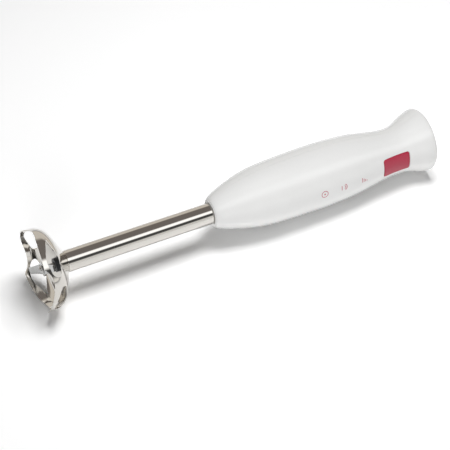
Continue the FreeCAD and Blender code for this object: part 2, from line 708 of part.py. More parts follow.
def board_level_slot(start):
    """Return the slot in a rib that holds one end of the circuit board."""
    size = (RIB + 2, BOARD_WIDTH + 2 * SLIP, BOARD_THICKNESS + 2 * SLIP)
    return block(size, (start + RIB / 2, 0, BOARD_LEVEL - BOARD_THICKNESS / 2))


def make_ribs(room):
    """Return the walls across the inside of the handle: tube, motor and circuit board seats."""
    tube_start = NOSE + NOSE_RING
    tube_rib = COLLAR_LENGTH - NOSE_RING + SLIP + RIB
    ribs = [rib(room, tube_start, tube_rib, rod(tube_start - 1, tube_rib + 2, TUBE_RADIUS + FIT))]
    for start in (FRONT_FRAME_START, REAR_FRAME_START):
        ribs.append(rib(room, start, RIB, mount_room(start - 1, RIB + 2)))
    for start in (BOARD_START - BOARD_SLOT / 2, BOARD_START + BOARD_LENGTH - RIB + BOARD_SLOT / 2):
        opening = fused([rod(start - 1, RIB + 2, BUTTON_WIDTH / 2), board_level_slot(start)])
        ribs.append(rib(room, start, RIB, opening))
    return ribs


def make_shells():
    """Return the two halves of the handle with their ribs, bosses, slots and openings."""
    room = handle_solid(SHELL_WALL / 2)
    spigot_room = rod(HANDLE_END - CAP_SPIGOT - SLIP, 2 * CAP_SPIGOT, cap_spigot_radius() + SLIP,
                      0, -cap_shift())
    mount_rooms = [mount_room(start, FRAME_PLATE) for start in (FRONT_FRAME_START, REAR_FRAME_START)]
    wall = handle_solid(0.0).cut([handle_solid(SHELL_WALL), spigot_room] + mount_rooms)
    ribs = make_ribs(room)
    shelf = block((SWITCH[0] + 2 * RIB, 4 * RIM_RADIUS, SHELF),
                  (BUTTON_X, 0, SWITCH_TOP - SWITCH[2] - SHELF / 2 - FIT))
    clamp_block = block((CLAMP[0] + 2 * CLAMP_BORDER, CLAMP[1] + 2 * CLAMP_BORDER, 2 * RIM_RADIUS),
                        (clamp_x(), 0, clamp_level() - RIM_RADIUS))
    shells = []
    for side in (1, -1):
        posts = []
        for x, y in shell_screw_places():
            ends = sorted((0.0, side * 2 * RIM_RADIUS))
            posts.append(post(x, y, ends[0], ends[1], BOSS_RADIUS).common(room))
        inside = ribs + posts
        if side < 0:
            inside += [shelf.common(room), clamp_block.common(room).cut(spigot_room)]
        halves = [piece.common(half_space(side)) for piece in [wall] + inside]
        shells.append(fused(halves))
    front, rear = shells
    for x, y in shell_screw_places():
        level = screw_head_level(x, y)
        front = front.cut(post(x, y, -1.0, SCREW_GRIP + SLIP, SCREW_RADIUS + FIT))
        head_top = level + SCREW_HEAD_HEIGHT
        rear = rear.cut(post(x, y, level - 2 * RIM_RADIUS, head_top, SCREW_HEAD + SLIP))
        rear = rear.cut(post(x, y, level, 1.0, SCREW_RADIUS + SLIP))
    front = front.cut(button_prism(BUTTON_GAP))
    collar_room = rod(NOSE - 1, COLLAR_LENGTH + SLIP + 1, TUBE_RADIUS + 2 * FIT + COLLAR_WALL)
    front = front.cut(collar_room)
    rear = rear.cut(collar_room)
    for index in range(OUTLET_SLOTS):
        place = (FAN_START + 1.0 + index * OUTLET_PITCH, 0, -RIM_RADIUS - STATOR_RADIUS)
        rear = rear.cut(block((OUTLET_WIDTH, OUTLET_LENGTH, 2 * RIM_RADIUS), place))
    rear = rear.cut(rod(clamp_x() - CLAMP[0], 2 * CLAMP[0], CORD_BORE + SLIP, 0, -cap_shift()))
    for x, y in clamp_screw_places():
        rear = rear.cut(post(x, y, clamp_level() - CLAMP_SCREW_DEPTH - SLIP, clamp_level() + 1,
                             SCREW_RADIUS + FIT))
    return [Node("front_shell", front), Node("rear_shell", rear)]


def make_nose_collar():
    """Return the ring that fills the front of the handle and carries the tube."""
    outer = TUBE_RADIUS + FIT + COLLAR_WALL
    body = rod(NOSE - NOSE_RING, COLLAR_LENGTH + NOSE_RING, outer)
    bore = rod(NOSE - 2 * NOSE_RING, COLLAR_LENGTH + 4 * NOSE_RING, TUBE_RADIUS + FIT)
    lead = [edge for edge in body.Edges if edge.BoundBox.XMax < NOSE and edge.BoundBox.YLength > 1]
    return body.makeFillet(NOSE_RING / 2, lead).cut(bore)


def make_tube_clamp():
    """Return the ring that locks the tube behind the nose rib."""
    start = NOSE + COLLAR_LENGTH + SLIP + RIB + SLIP
    return ring(start, TUBE_END - start, TUBE_RADIUS + FIT + 2.5, TUBE_RADIUS + FIT)


def cap_shift():
    """Return how far the end cap's centre lies towards the palm."""
    return HANDLE_SECTIONS[-1][2]


def cap_spigot_radius():
    """Return the radius of the end cap's spigot inside the shells."""
    return HANDLE_SECTIONS[-1][1] - CAP_SEAT_WALL - SLIP


def make_end_cap():
    """Return the domed cap with its spigot, air slots and the hole for the cord gland."""
    outer = HANDLE_SECTIONS[-1][1]
    shift = cap_shift()
    dome = rod(HANDLE_END, CAP_DOME, outer, 0, -shift)
    rims = [edge for edge in dome.Edges if edge.BoundBox.XMin > HANDLE_END + 1 and edge.BoundBox.YLength > 1]
    dome = dome.makeFillet(CAP_ROUND, rims)
    spigot = ring(HANDLE_END - CAP_SPIGOT, CAP_SPIGOT + 1.0, cap_spigot_radius(),
                  cap_spigot_radius() - CAP_WALL, 0, -shift)
    hollow = rod(HANDLE_END - 1, CAP_DOME - CAP_WALL + 1, cap_spigot_radius() - CAP_WALL, 0, -shift)
    cap = fused([dome.cut(hollow), spigot])
    slot = block((4 * CAP_DOME, VENT_WIDTH, VENT_LENGTH),
                 (HANDLE_END, 0, (GLAND_FLANGE + cap_spigot_radius() - CAP_WALL) / 2))
    vents = [copy.translate(Vector(0, 0, -shift)) for copy in around(slot, VENT_COUNT, 180.0 / VENT_COUNT)]
    hole = rod(HANDLE_END - CAP_SPIGOT, 4 * CAP_SPIGOT, GLAND_RADIUS + FIT, 0, -shift)
    return cap.cut(vents + [hole])


def gland_start():
    """Return where the gland's tail begins on the axis, inside the handle."""
    return HANDLE_END + CAP_DOME - CAP_WALL - GLAND_TAIL


def make_cord_gland():
    """Return the rubber gland in the end cap, with a flange on each side of the wall."""
    shift = cap_shift()
    outer_face = HANDLE_END + CAP_DOME
    inner_face = outer_face - CAP_WALL
    body = rod(gland_start(), GLAND_TAIL + CAP_WALL + GLAND_LIP, GLAND_RADIUS, 0, -shift)
    lips = [rod(outer_face + FIT, GLAND_LIP - FIT, GLAND_FLANGE, 0, -shift),
            rod(inner_face - GLAND_LIP, GLAND_LIP - FIT, GLAND_FLANGE, 0, -shift)]
    gland = fused([body] + lips)
    return gland.cut(rod(inner_face - 2 * GLAND_TAIL, 4 * GLAND_TAIL, CORD_BORE, 0, -shift))


def clamp_x():
    """Return the cord clamp's place along the axis."""
    return gland_start() - CLAMP_GAP - CLAMP_BORDER - CLAMP[0] / 2


def clamp_level():
    """Return the level of the block under the cord clamp, which holds the lower part of the cord."""
    return -cap_shift() - CLAMP_DROP


def clamp_screw_places():
    """Return (x, y) of the two screws in the cord clamp."""
    return [(clamp_x(), side * (CLAMP[1] / 2 - SCREW_HEAD)) for side in (-1, 1)]


def make_cord_clamp():
    """Return the bridge that holds the cord down, and its two screws."""
    bottom = clamp_level()
    height = CLAMP_DROP + CORD_BORE + CLAMP[2]
    bridge = block((CLAMP[0], CLAMP[1], height), (clamp_x(), 0, bottom + height / 2))
    bridge = bridge.cut(rod(clamp_x() - CLAMP[0], 2 * CLAMP[0], CORD_BORE, 0, -cap_shift()))
    screws = []
    for x, y in clamp_screw_places():
        bridge = bridge.cut(post(x, y, bottom, bottom + height, SCREW_RADIUS + SLIP))
        shank = post(x, y, bottom - CLAMP_SCREW_DEPTH, bottom + height, SCREW_RADIUS)
        head = post(x, y, bottom + height, bottom + height + SCREW_HEAD_HEIGHT, SCREW_HEAD)
        screws.append(fused([shank, head]))
    return [Node("cord_clamp", bridge), Node("clamp_screws", Part.makeCompound(screws))]


def make_shell_screws():
    """Return the four screws that hold the shells together."""
    screws = []
    for x, y in shell_screw_places():
        level = screw_head_level(x, y)
        shank = post(x, y, level, SCREW_GRIP, SCREW_RADIUS)
        screws.append(fused([shank, post(x, y, level, level + SCREW_HEAD_HEIGHT, SCREW_HEAD)]))
    return Part.makeCompound(screws)


# ---------------------------------------------------------------- button and electrical parts

def make_button():
    """Return the button cap, its plunger and its return spring."""
    outside = handle_solid(-BUTTON_PROUD).common(button_prism(0.0))
    inside = handle_solid(BUTTON_WALL)
    room = block((BUTTON_LENGTH - 2 * BUTTON_WALL, BUTTON_WIDTH - 2 * BUTTON_WALL, 4 * RIM_RADIUS),
                 (BUTTON_X, 0, 0))
    radius, shift = handle_radius(BUTTON_AT)
    top = radius - shift
    cap = outside.cut(inside.common(room)).cut(slab_below(top - BUTTON_DEPTH))
    edge = math.sqrt((radius - SHELL_WALL) ** 2 - (BUTTON_WIDTH / 2) ** 2) - shift
    tab_top = min(edge, top - SHELL_WALL) - BUTTON_GAP
    tab_size = (BUTTON_LENGTH + 2 * BUTTON_TAB, BUTTON_WIDTH / 2, BUTTON_TAB_THICKNESS)
    tab = block(tab_size, (BUTTON_X, 0, tab_top - BUTTON_TAB_THICKNESS / 2))
    tab = tab.cut(room)
    stem_bottom = SWITCH_TOP + BUTTON_TRAVEL + BUTTON_STEM_GAP
    stem = post(BUTTON_X, 0, stem_bottom, top - BUTTON_WALL / 2, PLUNGER_RADIUS + BUTTON_STEM_WALL)
    plunger = post(BUTTON_X, 0, SWITCH_TOP - PLUNGER_IN_SWITCH, stem_bottom, PLUNGER_RADIUS)
    spring_bottom = SWITCH_TOP + SPRING_GAP
    spring_reach = RETURN_SPRING_RADIUS + RETURN_SPRING_WIRE
    roof = math.sqrt((radius - BUTTON_WALL) ** 2 - spring_reach ** 2) - shift
    spring_height = roof - 2 * SPRING_GAP - spring_bottom
    spring = coil_spring(Vector(BUTTON_X, 0, spring_bottom), Z_AXIS, spring_height,
                         RETURN_SPRING_RADIUS, RETURN_SPRING_WIRE, RETURN_SPRING_TURNS)
    return [
        Node("button_cap", fused([cap, tab, stem])),
        Node("switch_plunger", plunger),
        Node("button_spring", spring),
    ]


def slab_below(level):
    """Return a big box that holds everything below a level."""
    width = 8 * RIM_RADIUS
    return Part.makeBox(2 * width, width, width, Vector(0, -width / 2, level - width))


def make_switch_body():
    """Return the switch block, with the hole that its plunger slides in."""
    body = block(SWITCH, (BUTTON_X, 0, SWITCH_TOP - SWITCH[2] / 2))
    well_floor = SWITCH_TOP - PLUNGER_IN_SWITCH - BUTTON_TRAVEL - SWITCH_GAP
    return body.cut(post(BUTTON_X, 0, well_floor, SWITCH_TOP + 1, PLUNGER_RADIUS + SLIP))


def make_board():
    """Return the circuit board, the capacitor and the small parts on it."""
    middle = BOARD_START + BOARD_LENGTH / 2
    size = (BOARD_LENGTH, BOARD_WIDTH, BOARD_THICKNESS)
    board = block(size, (middle, 0, BOARD_LEVEL - BOARD_THICKNESS / 2))
    capacitor = block(CAPACITOR, (middle + CAPACITOR_AT[0], CAPACITOR_AT[1], BOARD_LEVEL + CAPACITOR[2] / 2))
    capacitor = capacitor.makeFillet(CAPACITOR_ROUND, capacitor.Edges)
    choke_top = BOARD_LEVEL + CHOKE_HEIGHT
    small = [
        block(RECTIFIER, (middle + RECTIFIER_AT[0], RECTIFIER_AT[1], BOARD_LEVEL + RECTIFIER[2] / 2)),
        post(middle + CHOKE_AT[0], CHOKE_AT[1], BOARD_LEVEL, choke_top, CHOKE_RADIUS),
    ]
    return [
        Node("circuit_board", board),
        Node("capacitor", capacitor),
        Node("board_parts", Part.makeCompound(small)),
    ]


# ---------------------------------------------------------------- assembly

def build_nodes():
    """Return every node of the blender, built along its own axis."""
    nodes = [
        Node("blade_guard", make_blade_guard()),
        Node("shaft_tube", make_shaft_tube()),
        Node("bearing_carrier", make_bearing_carrier()),
        Node("drive_shaft", make_drive_shaft()),
        Node("blade", make_blade()),
        Node("blade_nut", make_blade_nut()),
        Node("drive_coupling", make_drive_coupling()),
        Node("nose_collar", make_nose_collar()),
        Node("tube_clamp", make_tube_clamp()),
        Node("end_cap", make_end_cap()),
        Node("cord_gland", make_cord_gland()),
        Node("shell_screws", make_shell_screws()),
        Node("switch_body", make_switch_body()),
    ]
    return (nodes + make_lower_bushes() + make_armature() + make_motor() + make_brush_gear()
            + make_shells() + make_cord_clamp() + make_button() + make_board())


def lay_down(nodes):
    """Turn the pieces so that the blender lies on its bell and its flare, origin under the middle."""
    roll = 90.0 - BUTTON_ELEVATION
    for node in nodes:
        node.shape.rotate(ORIGIN, X_AXIS, roll)
    flare = max(HANDLE_SECTIONS, key=lambda section: section[1])
    flare_low = flare[1] + flare[2] * math.sin(math.radians(BUTTON_ELEVATION))
    bell_low = RIM_RADIUS + (SHOULDER_RADIUS - RIM_RADIUS) * PETAL_DEPTH / SHOULDER_HEIGHT
    tilt = math.degrees(math.atan((bell_low - flare_low) / (NOSE + flare[0] - PETAL_DEPTH)))
    for node in nodes:
        node.shape.rotate(ORIGIN, Y_AXIS, tilt)
    box = FreeCAD.BoundBox()
    for node in nodes:
        box.add(node.shape.optimalBoundingBox(False))
    for node in nodes:
        node.shape.translate(Vector(-box.Center.x, -box.Center.y, -box.ZMin))
    return tilt, box


def main():
    """Build every node and write each one to its own STEP file."""
    os.makedirs("parts", exist_ok=True)
    nodes = build_nodes()
    tilt, box = lay_down(nodes)
    print(f"tilt {tilt:.3f} deg, size {box.XLength:.1f} x {box.YLength:.1f} x {box.ZLength:.1f} mm")
    print(f"rim centre before laying down moves by {-box.Center.x:.3f} {-box.Center.y:.3f} {-box.ZMin:.3f}")
    for node in nodes:
        solids = node.shape.Solids
        state = "ok" if node.shape.isValid() and all(solid.isClosed() for solid in solids) else "BAD"
        print(f"{node.name:20s} {state} solids {len(solids)} volume {node.shape.Volume:.1f}")
        node.shape.exportStep(f"parts/{node.name}.step")


main()
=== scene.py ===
"""Immersion blender lying on its side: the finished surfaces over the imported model.

Every new piece is a surface worked out with numpy in the blender's own axes and in millimetres: the
first coordinate runs from the rim of the bell to the end of the handle, the third points out through
the button and the second follows the seam of the two handle shells. Axes turns such points into the
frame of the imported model. Sizes are dataclass fields, and each class dresses one sub-assembly.
"""

import json
import logging
import math
from dataclasses import dataclass, field
from enum import Enum
from typing import Any, Callable, Sequence

import bmesh
import bpy
import numpy as np
from mathutils import Matrix

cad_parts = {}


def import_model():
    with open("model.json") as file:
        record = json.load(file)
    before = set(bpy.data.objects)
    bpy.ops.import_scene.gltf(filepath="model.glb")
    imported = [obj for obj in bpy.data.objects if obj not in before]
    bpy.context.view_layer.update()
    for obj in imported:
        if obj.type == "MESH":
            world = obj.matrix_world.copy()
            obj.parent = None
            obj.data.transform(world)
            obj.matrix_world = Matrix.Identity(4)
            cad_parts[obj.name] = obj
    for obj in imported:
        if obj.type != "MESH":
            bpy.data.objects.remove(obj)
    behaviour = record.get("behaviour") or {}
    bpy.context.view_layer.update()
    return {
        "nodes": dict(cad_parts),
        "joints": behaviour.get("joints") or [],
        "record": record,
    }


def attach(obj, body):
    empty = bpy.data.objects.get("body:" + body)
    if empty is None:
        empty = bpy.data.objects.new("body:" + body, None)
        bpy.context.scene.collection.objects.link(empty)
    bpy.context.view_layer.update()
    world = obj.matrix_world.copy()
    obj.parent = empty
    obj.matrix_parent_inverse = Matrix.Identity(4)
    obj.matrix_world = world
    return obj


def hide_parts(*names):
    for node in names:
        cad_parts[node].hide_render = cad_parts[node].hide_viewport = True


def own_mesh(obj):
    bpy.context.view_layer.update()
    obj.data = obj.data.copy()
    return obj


MM = 0.001
MERGE_WITHIN = 0.002  # points this near each other, in millimetres, are one
RING_POWER = 1.6  # over 1 draws the rings of a pierced cell together at its hole
LOG = logging.getLogger("immersion_blender")

Array = np.ndarray
Surface = Callable[[Array, Array], Array]


# ---- places

@dataclass(frozen=True)
class Axes:
    """The blender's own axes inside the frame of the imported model."""

    origin: Array
    basis: Array

    @classmethod
    def from_joints(cls, joints: Sequence[dict]) -> "Axes":
        """Read the axes off the two joints.

        The third axis is the way out of the button, less its part along the drive line.

        Args:
            joints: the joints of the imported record.

        Returns:
            Axes whose first row is the drive line and whose third row points out of the button.
        """
        named = {joint["name"]: joint for joint in joints}
        along = np.array(named["rotor_spin"]["axis"], float)
        outwards = -np.array(named["button_press"]["axis"], float)
        outwards = unit(outwards - along * (outwards @ along))
        basis = np.array([along, np.cross(outwards, along), outwards])
        return cls(np.array(named["rotor_spin"]["pos_m"], float), basis)

    def world(self, points: Array) -> Array:
        """Turn points in millimetres on the blender's axes into metres in the frame."""
        return self.origin + (points @ self.basis) * MM


# ---- curves

def unit(rows: Array) -> Array:
    """Return a vector, or each row of an array, at length one."""
    return rows / np.linalg.norm(rows, axis=-1, keepdims=True)


def full_turn(count: int) -> Array:
    """Return evenly spaced angles that go once round."""
    return np.linspace(0, 2 * math.pi, count, endpoint=False)


def circle(radius: float, count: int, middle: tuple[float, float] = (0.0, 0.0)) -> Array:
    """Return evenly spaced points of a flat circle."""
    return radius * np.column_stack([np.cos(full_turn(count)), np.sin(full_turn(count))]) + middle


def smooth_curve(points: Array, count: int) -> Array:
    """Sample the natural cubic spline through points, evenly over the length of their chords.

    Between two knots the curve is the sum of the straight chord and of two cubic terms, whose
    weights (the second derivatives) solve one tridiagonal system and vanish at both ends.

    Args:
        points: rows of coordinates that the curve passes through.
        count: how many samples to return.

    Returns:
        The samples as rows.
    """
    chords = np.diff(points, axis=0)
    knots = path_length(points)
    gaps = np.diff(knots)
    inner = np.arange(1, len(knots) - 1)
    matrix = np.eye(len(knots))
    matrix[inner, inner - 1] = gaps[:-1]
    matrix[inner, inner] = 2 * (gaps[:-1] + gaps[1:])
    matrix[inner, inner + 1] = gaps[1:]
    turns = np.zeros_like(points)
    turns[1:-1] = 6 * np.diff(chords / gaps[:, None], axis=0)
    bend = np.linalg.solve(matrix, turns)
    place = np.linspace(0.0, knots[-1], count)
    span = np.clip(np.searchsorted(knots, place, side="right") - 1, 0, len(gaps) - 1)
    after = (place - knots[span])[:, None]
    before = (knots[span + 1] - place)[:, None]
    gap = gaps[span][:, None]
    cubic = (bend[span] * before ** 3 + bend[span + 1] * after ** 3) / (6 * gap)
    start = (points[span] / gap - bend[span] * gap / 6) * before
    end = (points[span + 1] / gap - bend[span + 1] * gap / 6) * after
    return cubic + start + end


def rounded_path(corners: Sequence[tuple[float, float]], radii: Sequence[float],
                 steps: int) -> Array:
    """Return a polyline whose inner corners are replaced by arcs.

    Each arc touches both legs of its corner at radius / tan(half the angle between the legs), and
    its points turn evenly from one leg's normal to the other's about the arc's centre.

    Args:
        corners: the corners in order, as pairs.
        radii: one radius for each corner but the first and last.
        steps: how many pieces an arc has.

    Returns:
        The points of the path as rows.
    """
    corners = np.array(corners, float)
    share = np.linspace(0.0, 1.0, steps + 1)[:, None]
    path = [corners[:1]]
    for before, corner, after, radius in zip(corners, corners[1:], corners[2:], radii):
        back, onward = unit(before - corner), unit(after - corner)
        half = math.acos(float(np.clip(back @ onward, -1, 1))) / 2
        centre = corner + unit(back + onward) * radius / math.sin(half)
        first = corner + back * radius / math.tan(half) - centre
        last = corner + onward * radius / math.tan(half) - centre
        total = math.pi - 2 * half
        path.append(centre + (first * np.sin((1 - share) * total) + last * np.sin(share * total))
                    / math.sin(total))
    return np.concatenate(path + [corners[-1:]])


def path_length(path: Array) -> Array:
    """Return the running length at each point of a path."""
    return np.concatenate([[0.0], np.cumsum(np.linalg.norm(np.diff(path, axis=0), axis=1))])


def even_path(path: Array, count: int, closed: bool = False) -> Array:
    """Return evenly spaced points of a flat path.

    Each coordinate is read off the path's own at even steps of its running length.

    Args:
        path: the points of the path, as pairs.
        count: how many points to return.
        closed: whether the path ends where it starts, and its last point is left out.

    Returns:
        The points as rows.
    """
    lengths = path_length(path)
    place = np.linspace(0.0, lengths[-1], count, endpoint=not closed)
    return np.column_stack([np.interp(place, lengths, path[:, k]) for k in (0, 1)])


def side_normals(path: Array, closed: bool = False) -> Array:
    """Return the normals of a flat path, to the right of its direction.

    A normal is the slope between the neighbours of a point at length one, turned by a quarter.

    Args:
        path: the points of the path, as pairs.
        closed: whether the last point's next one is the first.

    Returns:
        One normal for each point.
    """
    slope = np.roll(path, -1, axis=0) - np.roll(path, 1, axis=0) if closed else np.gradient(path, axis=0)
    slope = unit(slope)
    return np.column_stack([slope[:, 1], -slope[:, 0]])


def rounded_rectangle(length: float, width: float, corner: float, per_side: int) -> Array:
    """Return the outline of a rounded rectangle about the origin.

    Its points are evenly spaced, from the middle of its +length side.

    Args:
        length: the size along the first coordinate.
        width: the size along the second.
        corner: the radius of the corners.
        per_side: a quarter of the number of points.

    Returns:
        The points as rows.
    """
    half_length, half_width = length / 2, width / 2
    corners = [(half_length, 0), (half_length, half_width), (-half_length, half_width),
               (-half_length, -half_width), (half_length, -half_width), (half_length, 0)]
    return even_path(rounded_path(corners, [corner] * 4, steps=8), 4 * per_side, closed=True)


# ---- faces

@dataclass
class Quads:
    """Points, in a surface's two parameters or in millimetres, and four-sided faces of them."""

    points: Array
    faces: Array

    @staticmethod
    def join(parts: Sequence["Quads"]) -> "Quads":
        """Put several sets of faces into one, one after another.

        Args:
            parts: the sets.

        Returns:
            The whole, whose faces count on from the points before them.
        """
        starts = np.cumsum([0] + [len(part.points) for part in parts[:-1]])
        faces = [part.faces + start for part, start in zip(parts, starts)]
        return Quads(np.concatenate([part.points for part in parts]), np.concatenate(faces))


def grid_faces(rows: int, columns: int, closed: bool = False) -> Array:
    """Return the faces of a grid whose points are stored row by row.

    Args:
        rows: how many rows of points there are.
        columns: how many points a row has.
        closed: whether each row's last point joins its first.

    Returns:
        One row of four point numbers for each face.
    """
    index = np.arange(rows * columns).reshape(rows, columns)
    if closed:
        index = np.concatenate([index, index[:, :1]], axis=1)
    corners = (index[:-1, :-1], index[:-1, 1:], index[1:, 1:], index[1:, :-1])
    return np.stack(corners, axis=-1).reshape(-1, 4)


def plain_cell(u: Array, v: Array) -> Quads:
    """Return a grid over two lists of parameters."""
    across, up = np.meshgrid(u, v)
    return Quads(np.column_stack([across.ravel(), up.ravel()]), grid_faces(len(v), len(u)))


def pierced_cell(u: Array, v: Array, hole: Array, scale: tuple[float, float],
                 rings: int, corner: int | None = None) -> Quads:
    """Return a grid that runs in rings from a hole's outline out to the edges of a cell.

    A ray from the middle of the hole to each edge point meets the outline once; the ring points
    divide that ray by a power law, so the rings lie closest together at the hole.

    Args:
        u: the cell's first parameter along its lower and upper edges.
        v: the cell's second parameter along its left and right edges.
        hole: the outline of the hole, as rows of parameters.
        scale: the real length of one unit of each parameter, for the angles of the rays.
        rings: how many rings the cell has.
        corner: the number of an outline point that a ray must meet, such as a sharp tip.

    Returns:
        The faces of the cell.
    """
    sides = ((u[:-1], v[0]), (u[-1], v[:-1]), (u[:0:-1], v[-1]), (u[0], v[:0:-1]))
    edge = np.concatenate([np.column_stack(np.broadcast_arrays(*side)) for side in sides])
    middle = hole.mean(axis=0)
    outline, rays = (hole - middle) * scale, (edge - middle) * scale
    turn = np.arctan2(outline[:, 1], outline[:, 0])
    aim = np.arctan2(rays[:, 1], rays[:, 0])
    order = np.argsort(turn)
    start = np.column_stack([np.interp(aim, turn[order], hole[order, k], period=2 * math.pi)
                             for k in (0, 1)])
    if corner is not None:
        gap = np.angle(np.exp(1j * (aim - turn[corner])))
        start[np.argmin(np.abs(gap))] = hole[corner]
    share = (np.linspace(0.0, 1.0, rings + 1) ** RING_POWER)[:, None, None]
    points = (start * (1 - share) + edge * share).reshape(-1, 2)
    return Quads(points, grid_faces(rings + 1, len(edge), closed=True)[:, ::-1])


def thick_sheet(sheet: Quads, outer: Surface, inner: Surface) -> Quads:
    """Close the space between two surfaces over one sheet of parameters.

    Points of the outer surface that share a place are made one. Both surfaces share the sheet's
    faces; each edge that belongs to one face only gets a wall from the outer surface to the inner.

    Args:
        sheet: the parameters and faces.
        outer: the outer surface.
        inner: the inner surface.

    Returns:
        The closed shape, in millimetres.
    """
    u, v = sheet.points.T
    outside = outer(u, v)
    _, first, back = np.unique(np.round(outside, 4), axis=0, return_index=True, return_inverse=True)
    faces = back.reshape(-1)[sheet.faces]
    count = len(first)
    edges = np.concatenate([faces[:, [k, (k + 1) % 4]] for k in range(4)])
    border = edges[~np.isin(edges[:, 1] * count + edges[:, 0], edges[:, 0] * count + edges[:, 1])]
    walls = np.column_stack([border[:, 1], border[:, 0], border[:, 0] + count, border[:, 1] + count])
    return Quads(np.concatenate([outside[first], inner(u, v)[first]]),
                 np.concatenate([faces, faces[:, ::-1] + count, walls]))


def strip(rows: Sequence[Array] | Array) -> Quads:
    """Return the faces between rows of points in millimetres, each row closed on itself."""
    rows = np.array(rows)
    return Quads(rows.reshape(-1, 3), grid_faces(len(rows), rows.shape[1], closed=True))


def capped_strip(rows: Array) -> Quads:
    """Return such a strip with each end drawn together in its middle."""
    ends = rows[[0, -1]].mean(axis=1, keepdims=True).repeat(rows.shape[1], axis=1)
    return strip(np.concatenate([ends[:1], rows, ends[1:]]))


def lathe(profile: Array, segments: int) -> Quads:
    """Turn the closed section of a ring about the drive line.

    The point of a row at turn t is (along, -radius sin t, radius cos t).

    Args:
        profile: rows of (along, radius) that go once round the section.
        segments: how many steps one turn has.

    Returns:
        The ring, in millimetres.
    """
    turn = full_turn(segments)
    along = np.repeat(profile[:, :1], segments, axis=1)
    return strip(np.stack([along, -profile[:, 1:] * np.sin(turn), profile[:, 1:] * np.cos(turn)], -1))


def ring_section(start: float, end: float, outer: float, bore: float, corner: float) -> Array:
    """Return the closed section of a ring with four rounded corners.

    Args:
        start: where the ring starts along the axis.
        end: where it ends.
        outer: its outer radius.
        bore: its inner radius.
        corner: the radius of the corners.

    Returns:
        Rows of (along, radius), from the middle of the first end.
    """
    middle = (outer + bore) / 2
    corners = [(start, middle), (start, outer), (end, outer), (end, bore), (start, bore),
               (start, middle)]
    return rounded_path(corners, [corner] * 4, steps=4)


# ---- Blender objects

def new_object(name: str, data: bpy.types.ID) -> bpy.types.Object:
    """Return a new object that shows the data in the scene.

    Args:
        name: the object's name.
        data: its mesh, lamp or camera.

    Returns:
        The object.
    """
    obj = bpy.data.objects.new(name, data)
    bpy.context.scene.collection.objects.link(obj)
    return obj


@dataclass(frozen=True)
class Maker:
    axes: Axes
    finishes: dict[str, bpy.types.Material]

    def piece(self, name: str, body: str, shape: Quads, finish: str, *nodes: str,
              slotted: bool = True, edge: float = 0.0, sharp: float = 38.0) -> bpy.types.Object:
        """Make one piece.

        Args:
            name: the name of the piece.
            body: the body that it rides on.
            shape: its points and faces, in millimetres on the blender's axes.
            finish: the name of its finish.
            *nodes: the nodes that it stands for.
            slotted: not used; whether the finish is that of a material slot in the record.
            edge: the width in millimetres of the rounding on its sharp edges.
            sharp: the angle in degrees past which an edge is sharp.

        Returns:
            The finished object.
        """
        mesh = bpy.data.meshes.new(name)
        mesh.from_pydata(self.axes.world(shape.points).tolist(), [], shape.faces.tolist())
        self._clean(mesh)
        mesh.materials.append(self.finishes[finish])
        obj = new_object(name, mesh)
        mesh.shade_smooth()
        mesh.set_sharp_from_angle(angle=math.radians(sharp))
        if edge > 0:
            bevel = obj.modifiers.new("soft_edge", "BEVEL")
            bevel.width = edge * MM
            bevel.segments = 2
            bevel.limit_method = "ANGLE"
            bevel.angle_limit = math.radians(sharp)
            bevel.use_clamp_overlap = True
        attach(obj, body)
        if nodes:
            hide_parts(*nodes)
        LOG.info("%s: %d faces on %s", name, len(mesh.polygons), body)
        return obj

    @staticmethod
    def _clean(mesh: bpy.types.Mesh) -> None:
        """Merge the points at one place and turn every face outwards.

        Args:
            mesh: the mesh to clean.
        """
        work = bmesh.new()
        work.from_mesh(mesh)
        bmesh.ops.remove_doubles(work, verts=work.verts, dist=MERGE_WITHIN * MM)
        bmesh.ops.recalc_face_normals(work, faces=work.faces)
        work.to_mesh(mesh)
        work.free()


# ---- finishes

class Texture(Enum):
    """How a surface was made, with the scale of its grain along each axis of the frame.

    Polished sheet has hair-fine scratches round the tube, and ground or turned metal has fine lines.
    Layered sheets and wound wire lie side by side. What is moulded or cast has an even grain.
    """

    POLISHED = (0.04, 1.0, 1.0)
    GROUND = (1.0, 0.06, 0.06)
    LAYERED = (1.0, 0.002, 0.002)
    WOUND = (1.0, 0.05, 0.05)
    EVEN = (1.0, 1.0, 1.0)


def linear(colour: str) -> tuple[float, float, float, float]:
    """Turn an sRGB hex colour into linear values with full opacity.

    A channel c becomes c / 12.92 up to 0.04045, and ((c + 0.055) / 1.055) ** 2.4 over it.

    Args:
        colour: the colour, such as #E6E6E5.

    Returns:
        Red, green, blue and opacity.
    """
    channels = [int(colour[k:k + 2], 16) / 255 for k in (1, 3, 5)]
    lit = [c / 12.92 if c <= 0.04045 else ((c + 0.055) / 1.055) ** 2.4 for c in channels]
    return (*lit, 1.0)


def grey(value: float) -> tuple[float, float, float, float]:
    """Return a neutral colour with full opacity."""
    return (value, value, value, 1.0)


def empty_tree(owner: bpy.types.Material | bpy.types.World) -> bpy.types.NodeTree:
    """Return the owner's node tree with nothing in it.

    Args:
        owner: the material or world.

    Returns:
        The tree.
    """
    owner.use_nodes = True
    owner.node_tree.nodes.clear()
    return owner.node_tree


